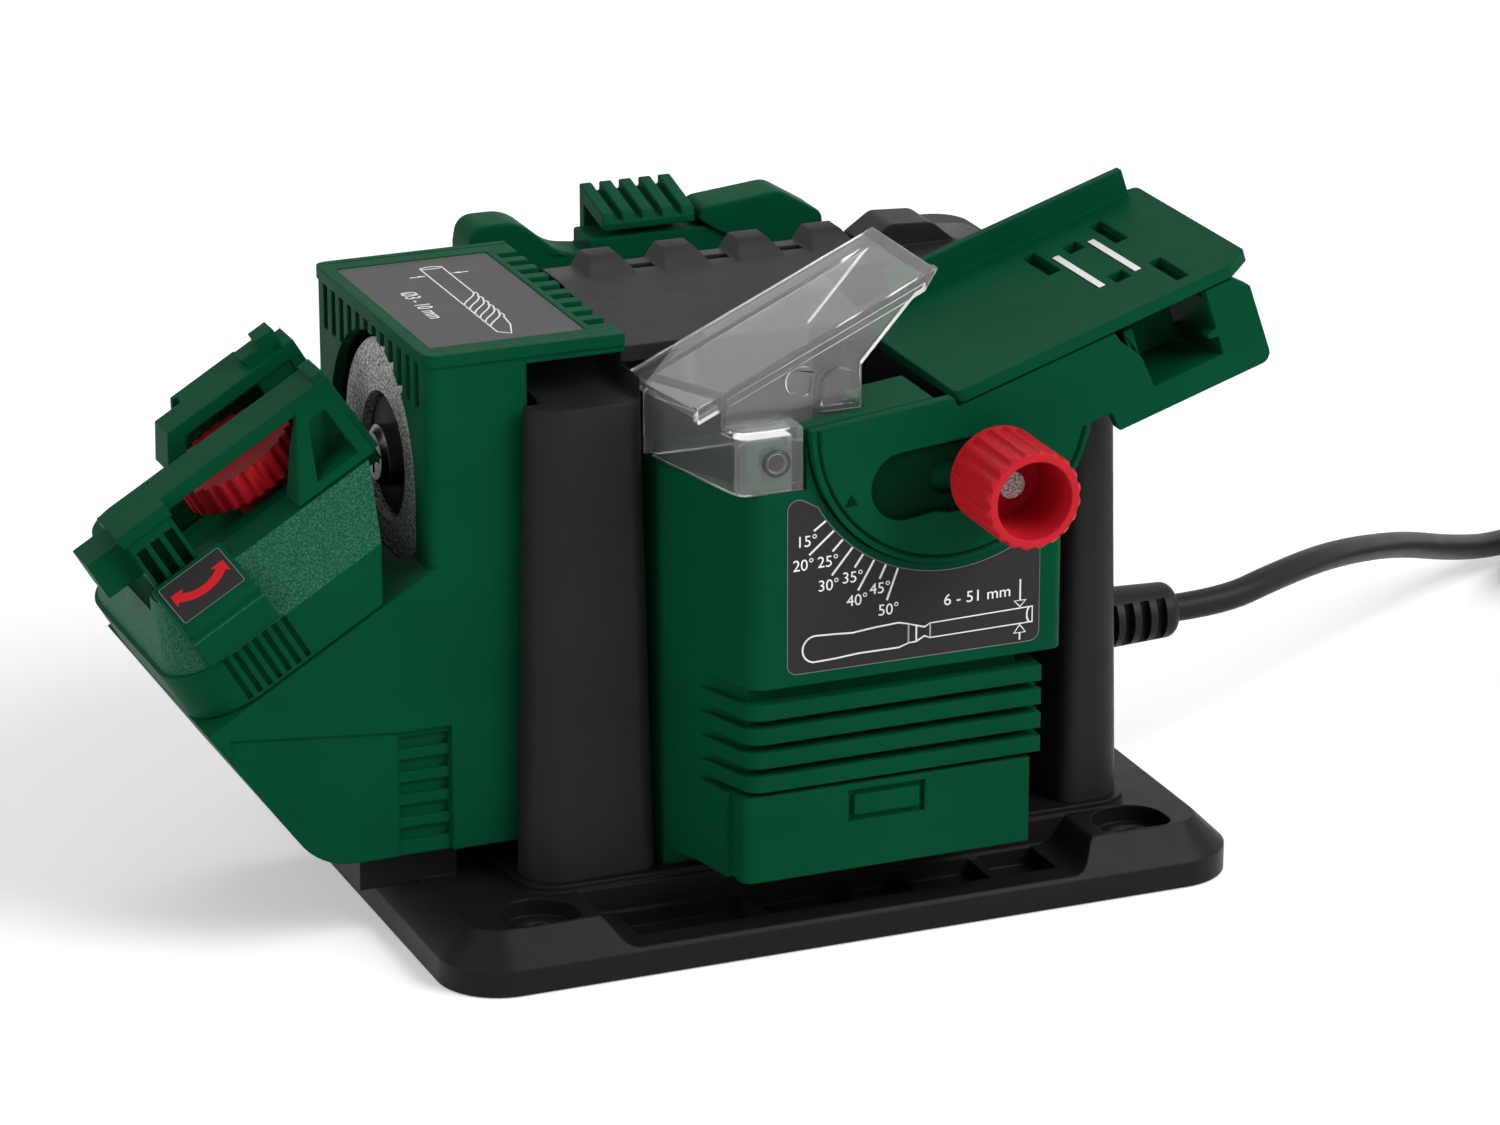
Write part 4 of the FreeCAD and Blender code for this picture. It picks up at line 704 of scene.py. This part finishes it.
def hole_floors_painted_shade():
    """The floors of the chisel table's holes, in the darker green: painted shade for the shadow inside them.
    """
    low, high = 2.15, 2.6
    half, run = 1.5, 14
    short_left, short_right, short_run = 48.6, 52.2, 5
    holes = [(along - half, along + half, start, start + run)
             for along, start in ((42, -40.4), (59, -39.8), (59, -69.5))]
    holes += [(short_left, short_right, start, start + short_run) for start in (-35, -58)]
    floors = [filled([(left, near), (right, near), (right, far), (left, far)], green_painted_shade, low, high)
              for left, right, near, far in holes]
    table = place_on((DIAL[0], 0, DIAL[1]), TABLE_ALONG, (0, 1, 0))
    laid("hole_floors_painted_shade", "tray", "green_plastic", table, *floors)


def screw_rims():
    """A raised ring round each screw hole of the base."""
    across, deep, floor = 69.5, 57.5, 8.5
    middle, thick, flat = 5.0, 1.5, 0.5
    rims = []
    for x in (-across, across):
        for y in (-deep, deep):
            bpy.ops.object.select_all(action="DESELECT")
            bpy.ops.mesh.primitive_torus_add(major_radius=middle, minor_radius=thick, major_segments=40,
                                             minor_segments=10)
            rim = bpy.context.object
            bpy.ops.object.mode_set(mode="EDIT")
            bpy.ops.transform.resize(value=(1, 1, flat))
            bpy.ops.transform.translate(value=(x, y, floor))
            bpy.ops.object.mode_set(mode="OBJECT")
            bpy.ops.object.shade_smooth()
            paint(rim, black_base_painted_shade)
            rims.append(rim)
    laid("screw_rims", "station", "black_plastic", AS_DRAWN, *rims)


# Dressing the CAD nodes

MERGE = 2e-6
SHARP, STRAIGHT = math.radians(32), 3
FLAT = math.radians(0.4)
ROOM_SHARE, ROOM_SPOTS = 0.45, (0.1, 0.5, 0.9)
OVERLAP = 1.002


def is_sharp(edge):
    return len(edge.link_faces) == 2 and edge.calc_face_angle(0) > SHARP


def room_ahead(loop):
    """How far the loop's edge can move square to itself over its face before it meets another edge."""
    face, start = loop.face, loop.vert.co
    run = loop.link_loop_next.vert.co - start
    inward = face.normal.cross(run).normalized()
    along = run.normalized()
    room = math.inf
    others = [other for other in face.loops if other is not loop]
    for part in ROOM_SPOTS:
        spot = start + run * part
        for other in others:
            a, b = other.vert.co - spot, other.link_loop_next.vert.co - spot
            side_a, side_b = a.dot(along), b.dot(along)
            if (side_a < 0) != (side_b < 0):
                share = side_a / (side_a - side_b)
                depth = a.lerp(b, share).dot(inward)
                if depth > MERGE:
                    room = min(room, depth)
    for near, corner in ((loop.link_loop_prev, loop), (loop.link_loop_next, loop.link_loop_next)):
        angle = corner.calc_angle()
        if angle < STRAIGHT:
            slant = math.tan(angle / 2) if is_sharp(near.edge) else 2 * math.sin(angle)
            room = min(room, near.edge.calc_length() * slant)
    return room


def weigh_edges(skin, width):
    """Mark each sharp edge with the share of the width that the faces beside it have room for."""
    mesh = bmesh.new()
    mesh.from_mesh(skin.data)
    weight = mesh.edges.layers.float.new("bevel_weight_edge")
    for edge in mesh.edges:
        if is_sharp(edge):
            room = min(room_ahead(loop) for loop in edge.link_loops)
            edge[weight] = min(1, ROOM_SHARE * room / width)
    mesh.to_mesh(skin.data)
    mesh.free()


def faces_overlap(skin):
    """True where a face's triangles cover more than the face itself, as a crossed outline's do."""
    skin.data.calc_loop_triangles()
    covered = sum(triangle.area for triangle in skin.data.loop_triangles)
    return covered > OVERLAP * sum(face.area for face in skin.data.polygons)


def round_edges(skin, round_mm):
    """Bevel the sharp edges, less and less until no face crosses itself, or else not at all."""
    plain = skin.data
    for part in (1, 2, 5):
        width = round_mm * MM / part
        skin.data = plain.copy()
        weigh_edges(skin, width)
        bevel = skin.modifiers.new("round_edges", "BEVEL")
        bevel.width = width
        bevel.segments = 2
        bevel.limit_method = "WEIGHT"
        bevel.use_clamp_overlap = False
        bpy.ops.object.modifier_apply(modifier=bevel.name)
        if not faces_overlap(skin):
            return
    skin.data = plain


def dress(node, round_mm):
    """A copy of a CAD node, with its faces merged and its edges rounded, stands for the node."""
    source = nodes[node]
    skin = bpy.data.objects.new(node + "_skin", source.data.copy())
    bpy.context.scene.collection.objects.link(skin)
    only(skin)
    bpy.ops.mesh.customdata_custom_splitnormals_clear()
    bpy.ops.object.mode_set(mode="EDIT")
    bpy.ops.mesh.select_all(action="SELECT")
    bpy.ops.mesh.remove_doubles(threshold=MERGE)
    bpy.ops.mesh.dissolve_limited(angle_limit=FLAT)
    bpy.ops.object.mode_set(mode="OBJECT")
    round_edges(skin, round_mm)
    bpy.ops.object.shade_smooth_by_angle(angle=SMOOTH_BELOW)
    flat = skin.modifiers.new("even_faces", "WEIGHTED_NORMAL")
    flat.keep_sharp = True
    bpy.ops.object.modifier_apply(modifier=flat.name)
    paint(skin, FINISHES[SLOT_OF[node]])
    add_piece(skin, source["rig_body"])
    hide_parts(node)
    return skin


ROUNDING = {
    "base_plate": 0.9, "motor_housing": 0.9, "top_cover": 0.7, "drill_housing": 0.5, "swing_block": 0.6,
    "near_jaw": 0.4, "far_jaw": 0.4, "clamp_wheel": 0.4, "chisel_housing": 0.45, "angle_plate": 0.5,
    "chisel_tray": 0.35, "tray_strips": 0.12, "lock_knob": 0.45, "clear_guard": 0.35, "knife_housing": 0.8,
    "knife_latch": 0.4, "switch_body": 0.3, "switch_rocker": 0.4, "grinding_wheel": 0.3, "wheel_hub": 0.3,
    "wheel_washer": 0.2, "wheel_screw": 0.25, "knob_stud": 0.4, "cord_grip": 0.5, "power_plug": 0.8,
    "plug_pins": 0.6, "cord_tie": 0.25, "guard_pin": 0.2}


def grain_slopes(skin):
    """Give the holder's sloped upper faces their coarse grain."""
    slope, spare = math.sin(math.radians(26.5)), 0.03
    skin.data.materials.append(green_grained)
    for face in skin.data.polygons:
        if abs(face.normal.dot(DECK_UP) - slope) < spare:
            face.material_index = 1


def paint_shade_in_rest(skin):
    """The thumb rest and the screw's slot get a matt, darker green inside: painted shade for the shadow in
    them.
    """
    spare, back = 0.3, -70.6
    left, right, low, high = -10, 40, 92, 116
    skin.data.materials.append(green_painted_shade)
    for side in skin.data.polygons:
        x, y, z = side.center / MM
        if left < x < right and low < z < high and PLATE_FACE + spare < y < back:
            side.material_index = 1


def main():
    photo_camera()
    studio()
    lead = mains_lead()
    skins = {node: dress(node, width) for node, width in ROUNDING.items()}
    grain_slopes(skins["swing_block"])
    paint_shade_in_rest(skins["angle_plate"])
    for node, finish in SPECIAL.items():
        paint(skins[node], finish)
    nose_cap()
    lid_rim()
    hole_floors_painted_shade()
    screw_rims()
    chisel_label()
    top_label()
    swing_label()
    dial_pointer()
    for node, item in nodes.items():
        if node not in ROUNDING:
            paint(item, FINISHES[SLOT_OF[node]])


main()
